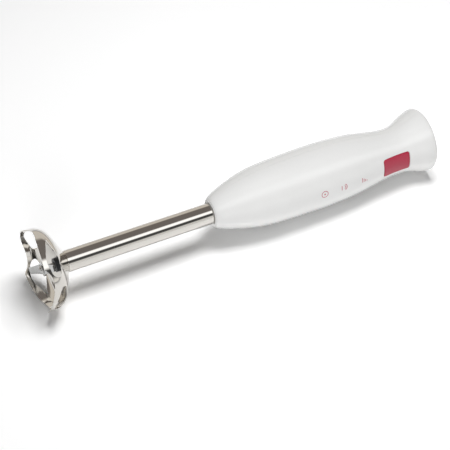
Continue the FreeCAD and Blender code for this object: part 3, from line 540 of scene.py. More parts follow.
def add_node(tree: bpy.types.NodeTree, kind: str, inputs: dict[str | int, Any] | None = None,
             **settings: Any) -> bpy.types.Node:
    """Add a node, set its settings, and set or link its inputs.

    Args:
        tree: the node tree.
        kind: the node's type name, without the word ShaderNode that all of them start with.
        inputs: a value, or the output socket to link, for each named or numbered input.
        **settings: attributes of the node.

    Returns:
        The new node.
    """
    node = tree.nodes.new("ShaderNode" + kind)
    for key, value in settings.items():
        setattr(node, key, value)
    for key, value in (inputs or {}).items():
        if isinstance(value, bpy.types.NodeSocket):
            tree.links.new(value, node.inputs[key])
        else:
            node.inputs[key].default_value = value
    return node


def mix_colours(tree: bpy.types.NodeTree, factor: bpy.types.NodeSocket, first: Any,
                second: Any) -> bpy.types.NodeSocket:
    """Return a mix of two colours or sockets: the first at factor 0, the second at factor 1."""
    node = add_node(tree, "Mix", {"Factor": factor, 6: first, 7: second}, data_type="RGBA")
    return node.outputs[2]


@dataclass(frozen=True)
class Finish:
    """One real material: what it is, how its surface was made and how that looks.

    The pitch of its texture, the depth of its relief and the length over which its colour drifts
    are in millimetres. Its roughness varies by the spread, as a share, to both sides.
    """

    name: str
    colour: str
    shade: str
    roughness: float
    pitch: float
    depth: float
    texture: Texture = Texture.EVEN
    metallic: float = 0.0
    drift: float = 24.0
    spread: float = 0.15

    def material(self) -> bpy.types.Material:
        """Build the material.

        The roughness and a bump of the real depth follow one grain of the real pitch, and the
        colour mixes two close shades by that grain and by a slow drift over the piece.

        Returns:
            The new material.
        """
        material = bpy.data.materials.new(self.name)
        tree = empty_tree(material)
        output = add_node(tree, "OutputMaterial")
        place = add_node(tree, "TexCoord").outputs["Object"]
        mapped = add_node(tree, "Mapping", {"Vector": place, "Scale": self.texture.value})
        grain = self._grain(tree, mapped.outputs["Vector"])
        drift = add_node(tree, "TexNoise", {
            "Vector": place, "Scale": 1 / (self.drift * MM), "Detail": 2.0})
        blend = add_node(tree, "Math", {0: grain, 1: drift.outputs["Fac"]}, operation="MULTIPLY")
        colour = mix_colours(tree, blend.outputs[0], linear(self.colour), linear(self.shade))
        rough = add_node(tree, "MapRange", {
            "Value": grain, "To Min": self.roughness * (1 - self.spread),
            "To Max": self.roughness * (1 + self.spread)})
        bump = add_node(tree, "Bump", {"Height": grain, "Distance": self.depth * MM, "Strength": 1.0})
        shader = add_node(tree, "BsdfPrincipled", {
            "Base Color": colour, "Roughness": rough.outputs[0], "Metallic": self.metallic,
            "Normal": bump.outputs["Normal"]})
        tree.links.new(shader.outputs["BSDF"], output.inputs["Surface"])
        return material

    def _grain(self, tree: bpy.types.NodeTree, place: bpy.types.NodeSocket) -> bpy.types.NodeSocket:
        """Draw the grain at its real pitch: waves for layers and wire, noise for all else.

        A wave texture has one band in each 2 pi / scale, so its scale is the frequency over 2 pi.

        Args:
            tree: the material's node tree.
            place: the place on the piece, stretched as the texture is.

        Returns:
            The output that holds the grain.
        """
        frequency = 1 / (self.pitch * MM)
        if self.texture in (Texture.LAYERED, Texture.WOUND):
            node = add_node(tree, "TexWave", {
                "Vector": place, "Scale": frequency / (2 * math.pi), "Distortion": 0.4},
                bands_direction="X", wave_profile="SIN")
        else:
            node = add_node(tree, "TexNoise", {
                "Vector": place, "Scale": frequency, "Detail": 3.0, "Roughness": 0.55})
        return node.outputs["Fac"]


def metal(*row: Any) -> Finish:
    """Return a finish of bare metal."""
    return Finish(*row, metallic=1.0)


FINISHES = {
    # Drawn and polished stainless sheet: a warm mirror, softened by hair-fine scratches.
    "polished_steel": metal("polished_stainless_sheet", "#D3D0CB", "#C2BFB9", 0.075, 0.5, 0.0006,
                            Texture.POLISHED),
    # Hardened blade steel, ground: brighter lines along the cut.
    "blade_steel": metal("ground_blade_steel", "#C3C3C2", "#8E8E8D", 0.2, 0.6, 0.003, Texture.GROUND),
    "shaft_steel": metal("turned_shaft_steel", "#B5B5B6", "#8C8D90", 0.26, 0.5, 0.003, Texture.GROUND),
    "screw_steel": metal("zinc_plated_steel", "#A9ABAE", "#83868A", 0.32, 0.6, 0.004, Texture.GROUND),
    # Injection-moulded ABS in a polished tool: hard gloss, almost no texture.
    "white_plastic": Finish("gloss_white_abs", "#E6E6E5", "#E0E0DF", 0.16, 2.4, 0.004),
    # Dyed ABS, softer gloss than the handle.
    "red_plastic": Finish("dyed_red_abs", "#AE2F47", "#9A2039", 0.32, 1.4, 0.006),
    "bush_bronze": metal("sintered_bronze", "#A9845A", "#7C5B38", 0.42, 0.4, 0.01),
    "carrier_plastic": Finish("glass_filled_nylon", "#35383C", "#25272A", 0.4, 0.8, 0.01),
    "seal_rubber": Finish("nitrile_rubber", "#1D1D1E", "#2B2B2C", 0.6, 0.8, 0.015),
    "gland_rubber": Finish("grey_pvc_rubber", "#B9B9B7", "#A5A5A3", 0.5, 0.9, 0.015),
    "clamp_alloy": metal("die_cast_alloy", "#A8A9AB", "#86878A", 0.38, 0.7, 0.012),
    "nylon": Finish("natural_nylon", "#DAD7CC", "#CFCBBD", 0.36, 1.2, 0.006),
    "laminations": metal("stacked_silicon_steel", "#6F7276", "#4C4F53", 0.38, 0.5, 0.02,
                         Texture.LAYERED),
    "copper_wire": metal("enamelled_copper", "#B5653A", "#7E3A1B", 0.3, 0.45, 0.05, Texture.WOUND),
    "brush_brass": metal("rolled_brass", "#C9A659", "#A9853C", 0.28, 0.5, 0.003, Texture.GROUND),
    "carbon": Finish("pressed_graphite", "#2A2A2B", "#3B3B3C", 0.5, 0.4, 0.01),
    "board_laminate": Finish("phenolic_laminate", "#7A5A32", "#6A4B26", 0.5, 0.9, 0.006),
    "capacitor_case": Finish("epoxy_case", "#D9B23A", "#C79E2B", 0.3, 1.2, 0.006),
    "black_plastic": Finish("black_polyamide", "#1F2022", "#2A2B2D", 0.42, 0.9, 0.01),
    "plunger_plastic": Finish("acetal", "#D2D1CC", "#C4C3BD", 0.3, 1.2, 0.005),
    # Pad-printed ink, a little thinner at its grain.
    "red_ink": Finish("red_pad_ink", "#B4475A", "#C36A79", 0.4, 0.5, 0.002),
}


# ---- foot

@dataclass(frozen=True)
class BellProfile:
    """One wall surface of the bell: its turned profile, and where its rim lies at each turn."""

    path: Array
    rim_turn: Array
    rim_length: Array
    period: float

    @property
    def lengths(self) -> Array:
        """The running length at each point of the profile."""
        return path_length(self.path)

    def radius(self, along: Array) -> Array:
        """Return the radius at a place along the axis."""
        return np.interp(along, self.path[:, 0], self.path[:, 1])

    def length_at(self, along: Array) -> Array:
        """Return the profile's length at a place along the axis."""
        return np.interp(along, self.path[:, 0], self.lengths)

    def start(self, turn: Array) -> Array:
        """Return the profile's length at the rim for each turn in degrees."""
        return np.interp(turn, self.rim_turn, self.rim_length, period=self.period)


@dataclass
class Bell:
    """The pressed steel bell with its petals, arches and leaf-shaped windows.

    A leaf's points are shares of the windows' rise and of half their length, and the arch's are
    shares of the petals' depth and of half their width. Struts are the turns between the windows.
    """

    height: float = 27.0
    rim_radius: float = 35.4
    shoulder_radius: float = 34.0
    shoulder_height: float = 14.8
    shoulder_round: float = 12.5
    skirt_below: float = 1.0
    skirt_flare: float = 0.1
    wall: float = 1.2
    tube_radius: float = 9.2
    neck_round: float = 0.8
    neck_length: float = 0.5
    neck_lap: float = 0.03
    petals: int = 4
    petal_depth: float = 5.2
    petal_turn: float = -37.0
    forward_turns: tuple = (-50.0, 130.0)
    backward_turns: tuple = (-154.0, 26.0)
    struts: tuple = (-192.0, -102.0, -12.0, 81.0, 168.0)
    window_length: float = 34.8
    window_low: float = 4.0
    window_high: float = 15.6
    arch: tuple = ((0.0, 1.0), (0.66, 0.84), (1.0, 0.56), (0.62, 0.0), (0.16, -0.64), (0.0, -1.0))
    forward_leaf: tuple = (
        (0.6, 1.0), (0.24, 0.40), (0.0, -0.15), (0.06, -0.55), (0.28, -0.88), (0.55, -0.98),
        (0.88, -0.55), (1.0, -0.05), (0.82, 0.40), (0.6, 1.0))
    backward_leaf: tuple = (
        (0.45, -1.0), (0.14, -0.62), (0.0, -0.25), (0.05, 0.04), (0.20, 0.40), (0.46, 0.80),
        (0.67, 0.98), (0.90, 0.90), (1.0, 0.60), (1.0, 0.15), (0.84, -0.42), (0.45, -1.0))
    columns_per_degree: float = 0.95
    fewest_columns: int = 8
    rows: int = 44
    rings: int = 22

    def profile(self, inset: float) -> BellProfile:
        """Work out one wall surface.

        The outer profile is the skirt, the shoulder's arc, the cone, and a fillet onto the tube; an
        inset moves it along its normals. The rim is the arch curve, wrapped onto that surface: a
        point at distance t across an arch stands at the turn whose sine is t over the radius.

        Args:
            inset: the distance under the outer surface.

        Returns:
            The profile with its rim.
        """
        neck = self.tube_radius + self.neck_lap
        corners = [(-self.skirt_below, self.rim_radius + self.skirt_flare),
                   (self.shoulder_height, self.shoulder_radius),
                   (self.height, neck), (self.height + self.neck_length, neck)]
        rounded = rounded_path(corners, [self.shoulder_round, self.neck_round], steps=40)
        path = even_path(rounded, count=900)
        path += inset * side_normals(path)
        half = self.rim_radius * math.sin(math.pi / self.petals)
        arch = smooth_curve(np.array(self.arch) * (self.petal_depth, half), count=300)
        arch[:, 0] = np.maximum(arch[:, 0], 0.0)
        radius = np.interp(arch[:, 0], path[:, 0], path[:, 1])
        turn = np.degrees(np.arcsin(np.clip(arch[:, 1] / radius, -1, 1)))
        keep = np.abs(turn) <= 180 / self.petals
        middle = self.petal_turn + 180 / self.petals
        rim = np.interp(arch[keep, 0], path[:, 0], path_length(path))
        return BellProfile(path, middle - turn[keep], rim, 360 / self.petals)

    def surface(self, inset: float) -> Surface:
        """Return one wall as a function of the turn in degrees and the share of the way up.

        Args:
            inset: the distance under the outer surface.

        Returns:
            The function, which gives places in millimetres.
        """
        profile = self.profile(inset)
        lengths = profile.lengths

        def point(turn: Array, share: Array) -> Array:
            """Return (along, -radius sin turn, radius cos turn) where the profile has this length.

            The length is the rim's at that turn, plus the share of what is left up to the tube.

            Args:
                turn: turns in degrees.
                share: shares of the way from the rim to the tube.

            Returns:
                The places as rows.
            """
            start = profile.start(turn)
            length = start + share * (lengths[-1] - start)
            along, radius = (np.interp(length, lengths, profile.path[:, k]) for k in (0, 1))
            angle = np.radians(turn)
            return np.column_stack([along, -radius * np.sin(angle), radius * np.cos(angle)])

        return point

    def window(self, profile: BellProfile, leaf: tuple, middle: float) -> Array:
        """Work out one window's outline on a wall surface.

        A point at distance t across the window stands at the turn whose sine is t over the radius.

        Args:
            profile: the wall surface.
            leaf: points of the outline.
            middle: the turn in degrees of the window's middle.

        Returns:
            Rows of a turn in degrees and a share of the way up.
        """
        rise = self.window_high - self.window_low
        curve = smooth_curve(np.array(leaf) * (rise, self.window_length / 2), count=400)[:-1]
        along = self.window_low + curve[:, 0]
        turn = middle - np.degrees(np.arcsin(curve[:, 1] / profile.radius(along)))
        start = profile.start(turn)
        share = (profile.length_at(along) - start) / (profile.lengths[-1] - start)
        return np.column_stack([turn, share])

    def shape(self) -> Quads:
        """Work out the whole bell: one cell for each window, cut along the struts.

        The cells' columns meet the tips of the petals, so the tips stay sharp.

        Returns:
            The bell as one closed shape, in millimetres.
        """
        outer = self.profile(0.0)
        windows = sorted([(turn, self.forward_leaf) for turn in self.forward_turns]
                         + [(turn, self.backward_leaf) for turn in self.backward_turns])
        tips = self.petal_turn + 360 / self.petals * np.arange(-self.petals, self.petals + 1)
        v = np.linspace(0.0, 1.0, self.rows)
        scale = (math.radians(1) * self.rim_radius, outer.lengths[-1])
        cells = []
        for low, high, (middle, leaf) in zip(self.struts, self.struts[1:], windows):
            breaks = [low] + [tip for tip in tips if low < tip < high] + [high]
            spans = []
            for start, end in zip(breaks, breaks[1:]):
                columns = max(self.fewest_columns, round((end - start) * self.columns_per_degree))
                spans.append(np.linspace(start, end, columns, endpoint=False))
            u = np.concatenate(spans + [[high]])
            hole = self.window(outer, leaf, middle)
            cells.append(pierced_cell(u, v, hole, scale, self.rings, corner=0))
        return thick_sheet(Quads.join(cells), self.surface(0.0), self.surface(self.wall))


@dataclass
class Blade:
    """The two-winged blade: a flat hub, one wing that rises and one that drops, ground edges.

    A wing starts inside the hub and bends near its edge, at these shares of the hub's radius. It is
    ground from this share of half its width out to the leading edge, which is this share of the
    thickness, and its tip sweeps by this share of its width.
    """

    seat: float = 8.5
    thickness: float = 1.6
    reach: float = 24.0
    hub_radius: float = 6.0
    hub_proud: float = 0.02
    hub_round: float = 0.25
    rise: float = 3.0
    drop: float = 5.0
    turn: float = 61.0
    bore: float = 2.05
    wing_width: float = 9.0
    tip_width: float = 5.6
    root_share: float = 0.3
    bend_share: float = 0.8
    bend_power: float = 1.15
    grind_share: float = 0.5
    edge_share: float = 0.12
    sweep_share: float = 0.22
    stations: int = 40

    def wing(self, side: int) -> Quads:
        """Return one wing as a closed strip of six-sided sections.

        A section's middle leaves the hub's level for the tip's, by a power of its way from the
        fold, its width falls evenly towards the tip, and its leading side narrows to an edge.

        Args:
            side: 1 for the wing that rises, -1 for the one that drops.

        Returns:
            The wing, in millimetres.
        """
        share = np.linspace(0.0, 1.0, self.stations)
        root, fold = self.hub_radius * self.root_share, self.hub_radius * self.bend_share
        reach = side * (root + share * (self.reach - root))
        bend = np.clip((np.abs(reach) - fold) / (self.reach - fold), 0, 1) ** self.bend_power
        level = self.seat - self.thickness / 2 + (self.rise if side > 0 else -self.drop) * bend
        width = self.wing_width + share * (self.tip_width - self.wing_width)
        sweep = side * self.sweep_share * self.wing_width * share
        half = self.thickness / 2
        edge = half * self.edge_share
        upper = [(-1.0, half), (self.grind_share, half), (1.0, edge)]
        section = np.array(upper + [(place, -height) for place, height in reversed(upper)])
        across = -side * (section[:, 0] * width[:, None] / 2) - sweep[:, None]
        along = level[:, None] + section[:, 1]
        return capped_strip(np.stack([along, np.repeat(reach[:, None], len(section), 1), across], -1))

    def shape(self) -> Quads:
        """Put the wings and the hub together, turned to where the blade has stopped.

        Returns:
            The blade, in millimetres.
        """
        section = ring_section(self.seat - self.thickness - self.hub_proud, self.seat + self.hub_proud,
                               self.hub_radius, self.bore, self.hub_round)
        whole = Quads.join([self.wing(1), self.wing(-1), lathe(section, segments=72)])
        cosine, sine = math.cos(math.radians(self.turn)), math.sin(math.radians(self.turn))
        turned = whole.points @ np.array([[1, 0, 0], [0, cosine, sine], [0, -sine, cosine]])
        return Quads(turned, whole.faces)


@dataclass
class Foot:
    """Bell, tube and blade."""

    bell: Bell = field(default_factory=Bell)
    blade: Blade = field(default_factory=Blade)
    tube_wall: float = 0.8
    tube_end: float = 176.0
    tube_round: float = 0.15

    def build(self, maker: Maker) -> None:
        """Make the foot's pieces.

        Args:
            maker: makes each piece.
        """
        maker.piece("bell", "handle", self.bell.shape(), "polished_steel", "blade_guard",
                    edge=0.22, sharp=40)
        outer = self.bell.tube_radius
        section = ring_section(self.bell.height, self.tube_end, outer, outer - self.tube_wall,
                               self.tube_round)
        tube = lathe(section, segments=160)
        maker.piece("steel_tube", "handle", tube, "polished_steel", "shaft_tube")
        maker.piece("blade_wings", "rotor", self.blade.shape(), "blade_steel", "blade",
                    edge=0.08, sharp=30)


# ---- handle

@dataclass
class HandleForm:
    """The outside of the handle: circles whose radius and centre follow smooth curves.

    A section is its distance from the nose, its radius and its centre's shift towards the palm. A
    point of a plan is a distance from the nose and an offset sideways. A side is 1 for the button's
    and -1 for the palm's.
    """

    nose: float = 160.0
    sections: tuple = (
        (0.0, 12.1, 0.0), (1.2, 13.2, 0.1), (4.0, 14.9, 0.3), (12.0, 18.0, 0.8), (24.0, 21.7, 1.3),
        (37.0, 24.7, 1.6), (50.0, 26.4, 1.8), (65.0, 27.2, 2.0), (85.0, 27.7, 2.4), (105.0, 27.8, 2.7),
        (125.0, 27.0, 3.0), (145.0, 24.8, 3.2), (159.0, 22.3, 2.8), (172.0, 20.7, 2.4),
        (182.0, 21.1, 2.9), (194.0, 24.7, 4.5), (202.0, 27.3, 5.1), (206.0, 28.0, 5.5))

    def __post_init__(self) -> None:
        """Sample the smooth curve through the sections once."""
        self.curve = smooth_curve(np.array(self.sections), count=1200)

    @property
    def length(self) -> float:
        """The length of the handle from its nose to its end."""
        return self.sections[-1][0]

    def radius(self, distance: Array | float) -> Array:
        """Return the outer radius at a distance from the nose."""
        return np.interp(distance, self.curve[:, 0], self.curve[:, 1])

    def shift(self, distance: Array | float) -> Array:
        """Return how far the centre lies towards the palm."""
        return np.interp(distance, self.curve[:, 0], self.curve[:, 2])

    def surface(self, inset: float) -> Surface:
        """Return the handle's surface as a function of distance and turn in degrees.

        The turn is 0 at the button and grows towards the seam; the point at radius r and turn t is
        (distance, r sin t, r cos t - shift), with r the outer radius less the inset.

        Args:
            inset: the distance under the outer surface.

        Returns:
            The function, which gives places in millimetres.
        """
        def point(distance: Array, turn: Array) -> Array:
            """Return the surface's places.

            Args:
                distance: distances from the nose.
                turn: turns in degrees.

            Returns:
                The places as rows.
            """
            radius = self.radius(distance) - inset
            angle = np.radians(turn)
            return np.column_stack([self.nose + distance, radius * np.sin(angle),
                                    radius * np.cos(angle) - self.shift(distance)])

        return point

    def level(self, plan: Array, side: int = 1, inset: float = 0.0) -> Array:
        """Return the third coordinate over points of a plan, this far under one side's surface."""
        radius = self.radius(plan[:, 0]) - inset
        return side * np.sqrt(radius ** 2 - plan[:, 1] ** 2) - self.shift(plan[:, 0])

    def place(self, plan: Array, level: Array | float) -> Array:
        """Return points of a plan, at a level, on the blender's own axes."""
        return np.column_stack([self.nose + plan[:, 0], plan[:, 1], np.broadcast_to(level, len(plan))])

    def turned(self, plan: Array, side: int = 1) -> Array:
        """Return points of a plan as rows of a distance and a turn in degrees."""
        turn = np.degrees(np.arcsin(plan[:, 1] / self.radius(plan[:, 0])))
        return np.column_stack([plan[:, 0], turn if side > 0 else 180 - turn])


@dataclass
class Shells:
    """The two moulded shells of the handle, with the button's opening, slots and screw wells.

    Openings and outlets are a length, a width and the radius of the corners. Screws are a distance
    from the nose and an offset to both sides. The borders round the screws are in millimetres
    along the handle, and in degrees towards the middle and away from it. Steps and columns say how
    fine a side's grid is along and across it, rings are those round a hole, and the opening's and
    slots' radii are the handle's own there.
    """

    form: HandleForm
    wall: float = 2.4
    seam: float = 0.12
    button_at: float = 170.7
    opening: tuple = (26.7, 17.7, 1.95)
    opening_border: float = 6.0
    opening_turn: float = 48.0
    outlets: tuple = (42.0, 46.0, 50.0, 54.0)
    outlet: tuple = (2.0, 14.0, 0.9)
    screws: tuple = ((24.0, 14.8), (138.0, 18.2))
    screw_border: float = 5.0
    screw_turn_borders: tuple = (12.0, 14.0)
    well_radius: float = 2.75
    well_depth: float = 4.5
    well_wall: float = 0.8
    well_overlap: float = 0.5
    well_points: int = 56
    hole_points: int = 80
    nose_round: float = 4.0
    nose_steps: int = 12
    step: float = 1.6
    fine_step: float = 0.8
    opening_step: float = 0.7
    short_span: float = 12.0
    opening_rings: int = 14
    opening_columns: tuple = (24, 64, 24)
    opening_radius: float = 21.0
    slot_rings: int = 10
    slot_columns: tuple = (16, 24, 30, 24, 16)
    slot_radius: float = 24.0

    def lengthwise(self, start: float, end: float, step: float) -> Array:
        """Return evenly spaced distances with both ends, close together at the rounded nose.

        In the nose a distance grows with the square of its number.

        Args:
            start: the first distance from the nose.
            end: the last one.
            step: about how far apart they are.

        Returns:
            The distances.
        """
        if start == 0.0:
            nose = np.linspace(0.0, 1.0, self.nose_steps) ** 2 * self.nose_round
            return np.concatenate([nose[:-1], self.lengthwise(self.nose_round, end, step)])
        return np.linspace(start, end, max(2, int(round((end - start) / step)) + 1))

    @staticmethod
    def crosswise(breaks: Sequence[float], counts: Sequence[int]) -> list[Array]:
        """Return evenly spaced turns between each two breaks, with both ends."""
        return [np.linspace(*ends, count) for *ends, count in zip(breaks, breaks[1:], counts)]

    def seam_turn(self) -> float:
        """Return the turn in degrees that half the seam's gap takes at the belly."""
        return math.degrees(self.seam / 2 / float(self.form.radius(self.form.length / 2)))

    def sheet(self, spans: Sequence[Array], turns: Sequence[Array],
              holes: Sequence[Array], radius: float, rings: int) -> Quads:
        """Return the parameters of one side: a cell for each span and turn, pierced by its hole.

        Args:
            spans: the cells' distances from the nose.
            turns: the cells' turns in degrees.
            holes: outlines as rows of a distance and a turn, each inside one cell.
            radius: the handle's radius at the holes, for the angles of the cells' rays.
            rings: how many rings a pierced cell has.

        Returns:
            The faces of the whole side.
        """
        cells = []
        for u in spans:
            for v in turns:
                inside = [hole for hole in holes
                          if u[0] < hole[:, 0].mean() < u[-1] and v[0] < hole[:, 1].mean() < v[-1]]
                if inside:
                    scale = (1.0, math.radians(1) * radius)
                    cells.append(pierced_cell(u, v, inside[0], scale, rings))
                else:
                    cells.append(plain_cell(u, v))
        return Quads.join(cells)

    def front_sheet(self) -> Quads:
        """Lay out the button's side, with the opening cut out.

        Returns:
            Its faces, over distances from the nose and turns in degrees.
        """
        half = self.opening[0] / 2 + self.opening_border
        low, high = self.button_at - half, self.button_at + half
        edge, turn = 90.0 - self.seam_turn(), self.opening_turn
        hole = self.form.turned(rounded_rectangle(*self.opening, per_side=60) + (self.button_at, 0.0))
        spans = [self.lengthwise(0.0, low, self.step), self.lengthwise(low, high, self.opening_step),
                 self.lengthwise(high, self.form.length, self.step)]
        turns = self.crosswise((-edge, -turn, turn, edge), self.opening_columns)
        return self.sheet(spans, turns, [hole], self.opening_radius, self.opening_rings)

    def rear_sheet(self) -> Quads:
        """Lay out the palm's side, with the slots and the screw wells cut out.

        Returns:
            Its faces, over distances from the nose and turns in degrees.
        """
        slot = rounded_rectangle(*self.outlet, per_side=20)
        holes = [self.form.turned(slot + (place, 0.0), -1) for place in self.outlets]
        screw_holes = [circle(self.well_radius, self.hole_points, (place, side * sideways))
                       for place, sideways in self.screws for side in (-1, 1)]
        holes += [self.form.turned(hole, -1) for hole in screw_holes]
        half = (self.outlets[1] - self.outlets[0]) / 2
        between = [place - half for place in self.outlets] + [self.outlets[-1] + half]
        first, last = (place for place, _ in self.screws)
        breaks = [0.0, first - self.screw_border, first + self.screw_border, *between,
                  last - self.screw_border, last + self.screw_border, self.form.length]
        spans = []
        for start, end in zip(breaks, breaks[1:]):
            step = self.step if end - start > self.short_span else self.fine_step
            spans.append(self.lengthwise(start, end, step))
        screw_turns = self.form.turned(np.array(self.screws))[:, 1]
        inner = screw_turns.min() - self.screw_turn_borders[0]
        outer = screw_turns.max() + self.screw_turn_borders[1]
        edge = 90.0 - self.seam_turn()
        turns = self.crosswise((-edge, -outer, -inner, inner, outer, edge), self.slot_columns)
        return self.sheet(spans, [180 + turn for turn in turns], holes, self.slot_radius,
                          self.slot_rings)

    def wells(self) -> Quads:
        """Work out the short moulded tubes that lead down to the heads of the shell screws.

        A tube's wall is a closed loop of four rows: the bore and the outside, each from a row that
        lies in the shell's thickness, follows its curve and so meets the skin all round, down to a
        row on one level.

        Returns:
            The tubes, in millimetres.
        """
        tubes = []
        for place, sideways in self.screws:
            deep = self.form.level(np.array([(place, sideways)]), -1) + self.well_depth
            for side in (-1, 1):
                middle = (place, side * sideways)
                bore, outside = (circle(self.well_radius + wall, self.well_points, middle)
                                 for wall in (0.0, self.well_wall))
                rows = [self.form.place(bore, self.form.level(bore, -1, self.well_overlap)),
                        self.form.place(bore, deep), self.form.place(outside, deep),
                        self.form.place(outside, self.form.level(outside, -1, self.well_overlap))]
                tubes.append(strip(rows + rows[:1]))
        return Quads.join(tubes)

    def build(self, maker: Maker) -> None:
        """Make the shells' pieces.

        Args:
            maker: makes each piece.
        """
        outer, inner = self.form.surface(0.0), self.form.surface(self.wall)
        front = thick_sheet(self.front_sheet(), outer, inner)
        maker.piece("handle_front", "handle", front, "white_plastic", "front_shell", edge=0.3)
        rear = thick_sheet(self.rear_sheet(), outer, inner)
        maker.piece("handle_rear", "handle", rear, "white_plastic", "rear_shell", edge=0.25)
        maker.piece("screw_wells", "handle", self.wells(), "white_plastic")


@dataclass
class PressButton:
    """The thumb button: a hollow cap that follows the handle, with rolled edges and a stem.

    Its stem reaches between two levels over the drive line.
    """

    form: HandleForm
    at: float = 170.7
    length: float = 26.0
    width: float = 17.0
    corner: float = 1.6
    proud: float = 0.6
    dish: float = 0.25
    roll: float = 0.9
    depth: float = 4.5
    wall: float = 2.0
    stem_radius: float = 2.0
    stem_levels: tuple = (12.2, 16.8)
    flat_rings: int = 13
    roll_rings: int = 9
    hollow_rings: int = 5
    stem_points: int = 32

    def cap(self) -> Quads:
        """Work out the cap.

        Rings of the rounded outline shrink towards the middle. A ring's height over the handle is
        the proud height, less a shallow dish that deepens towards the middle, less a quarter-round
        roll at the edge; the sides drop straight from there, and the hollow underneath leaves an
        even wall.

        Returns:
            The cap, in millimetres.
        """
        outline = rounded_rectangle(self.length, self.width, self.corner, per_side=56)
        stretch = np.array([self.length, self.width]) / 2
        half = stretch.min()
        flat = np.linspace(half, self.roll, self.flat_rings, endpoint=False)
        rolled = self.roll * (1 - np.sin(np.linspace(0, math.pi / 2, self.roll_rings)))
        rings = [self._ring(outline * (1 - inset / half), self._height(inset, half)) for inset in flat]
        rings += [self._ring(outline * (stretch - inset) / stretch, self._height(inset, half))
                  for inset in rolled]
        inner = outline * (stretch - self.wall) / stretch
        rings += [self._ring(plan, -self.depth) for plan in (outline, inner)]
        rings += [self._ring(inner * share, -self.wall)
                  for share in np.linspace(1.0, 0.0, self.hollow_rings)]
        return strip(rings)

    def _height(self, inset: float, half: float) -> float:
        """Return the height over the handle of the ring that lies this far inside the outline."""
        drop = self.roll - math.sqrt(self.roll ** 2 - max(self.roll - inset, 0.0) ** 2)
        return self.proud - self.dish * (1 - (1 - inset / half) ** 2) - drop

    def _ring(self, plan: Array, height: float) -> Array:
        """Return points of a plan about the button's middle, at a height over the handle."""
        plan = plan + (self.at, 0.0)
        return self.form.place(plan, self.form.level(plan) + height)

    def stem(self) -> Quads:
        """Work out the stem under the cap: a rod inside the spring that pushes the switch.

        Returns:
            The stem, in millimetres.
        """
        low, high = self.stem_levels
        rows = ((0.0, low), (self.stem_radius, low), (self.stem_radius, high), (0.0, high))
        return strip([self.form.place(circle(radius, self.stem_points, (self.at, 0.0)), level)
                      for radius, level in rows])

    def build(self, maker: Maker) -> None:
        """Make the button."""
        maker.piece("thumb_button", "button", Quads.join([self.cap(), self.stem()]), "red_plastic",
                    "button_cap", sharp=50)


@dataclass
class ReturnSpring:
    """The coil spring between the switch and the button, which shortens as the button goes in."""

    at: float = 330.7
    base: float = 9.1
    height: float = 6.74
    radius: float = 3.4
    wire: float = 0.35
    turns: int = 4
    travel: float = 2.0
    steps_per_turn: int = 48
    wire_sides: int = 12

    def shape(self) -> Quads:
        """Sweep a round wire along the coil.

        A section is the coil's centre plus the wire's radius times the cosine of its angle along
        the radius and the sine along the binormal, the cross product of tangent and radius.

        Returns:
            The wire, in millimetres.
        """
        angle = np.linspace(0, 2 * math.pi * self.turns, self.steps_per_turn * self.turns + 1)
        rise = (self.height - 2 * self.wire) / angle[-1]
        cosine, sine, level = np.cos(angle), np.sin(angle), np.zeros(len(angle))
        radial = np.column_stack([cosine, sine, level])
        centre = self.radius * radial + np.column_stack([
            level + self.at, level, self.base + self.wire + rise * angle])
        tangent = unit(np.column_stack([-self.radius * sine, self.radius * cosine, level + rise]))
        across = np.cross(tangent, radial)
        section = full_turn(self.wire_sides)[:, None]
        return capped_strip(centre[:, None] + self.wire * (np.cos(section) * radial[:, None]
                                                           + np.sin(section) * across[:, None]))

    def build(self, maker: Maker) -> None:
        """Make the spring.

        Args:
            maker: makes the piece.
        """
        spring = maker.piece("return_spring", "handle", self.shape(), "shaft_steel", "button_spring")
        anchor = maker.axes.world(np.array([self.at, 0.0, self.base]))
        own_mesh(spring)


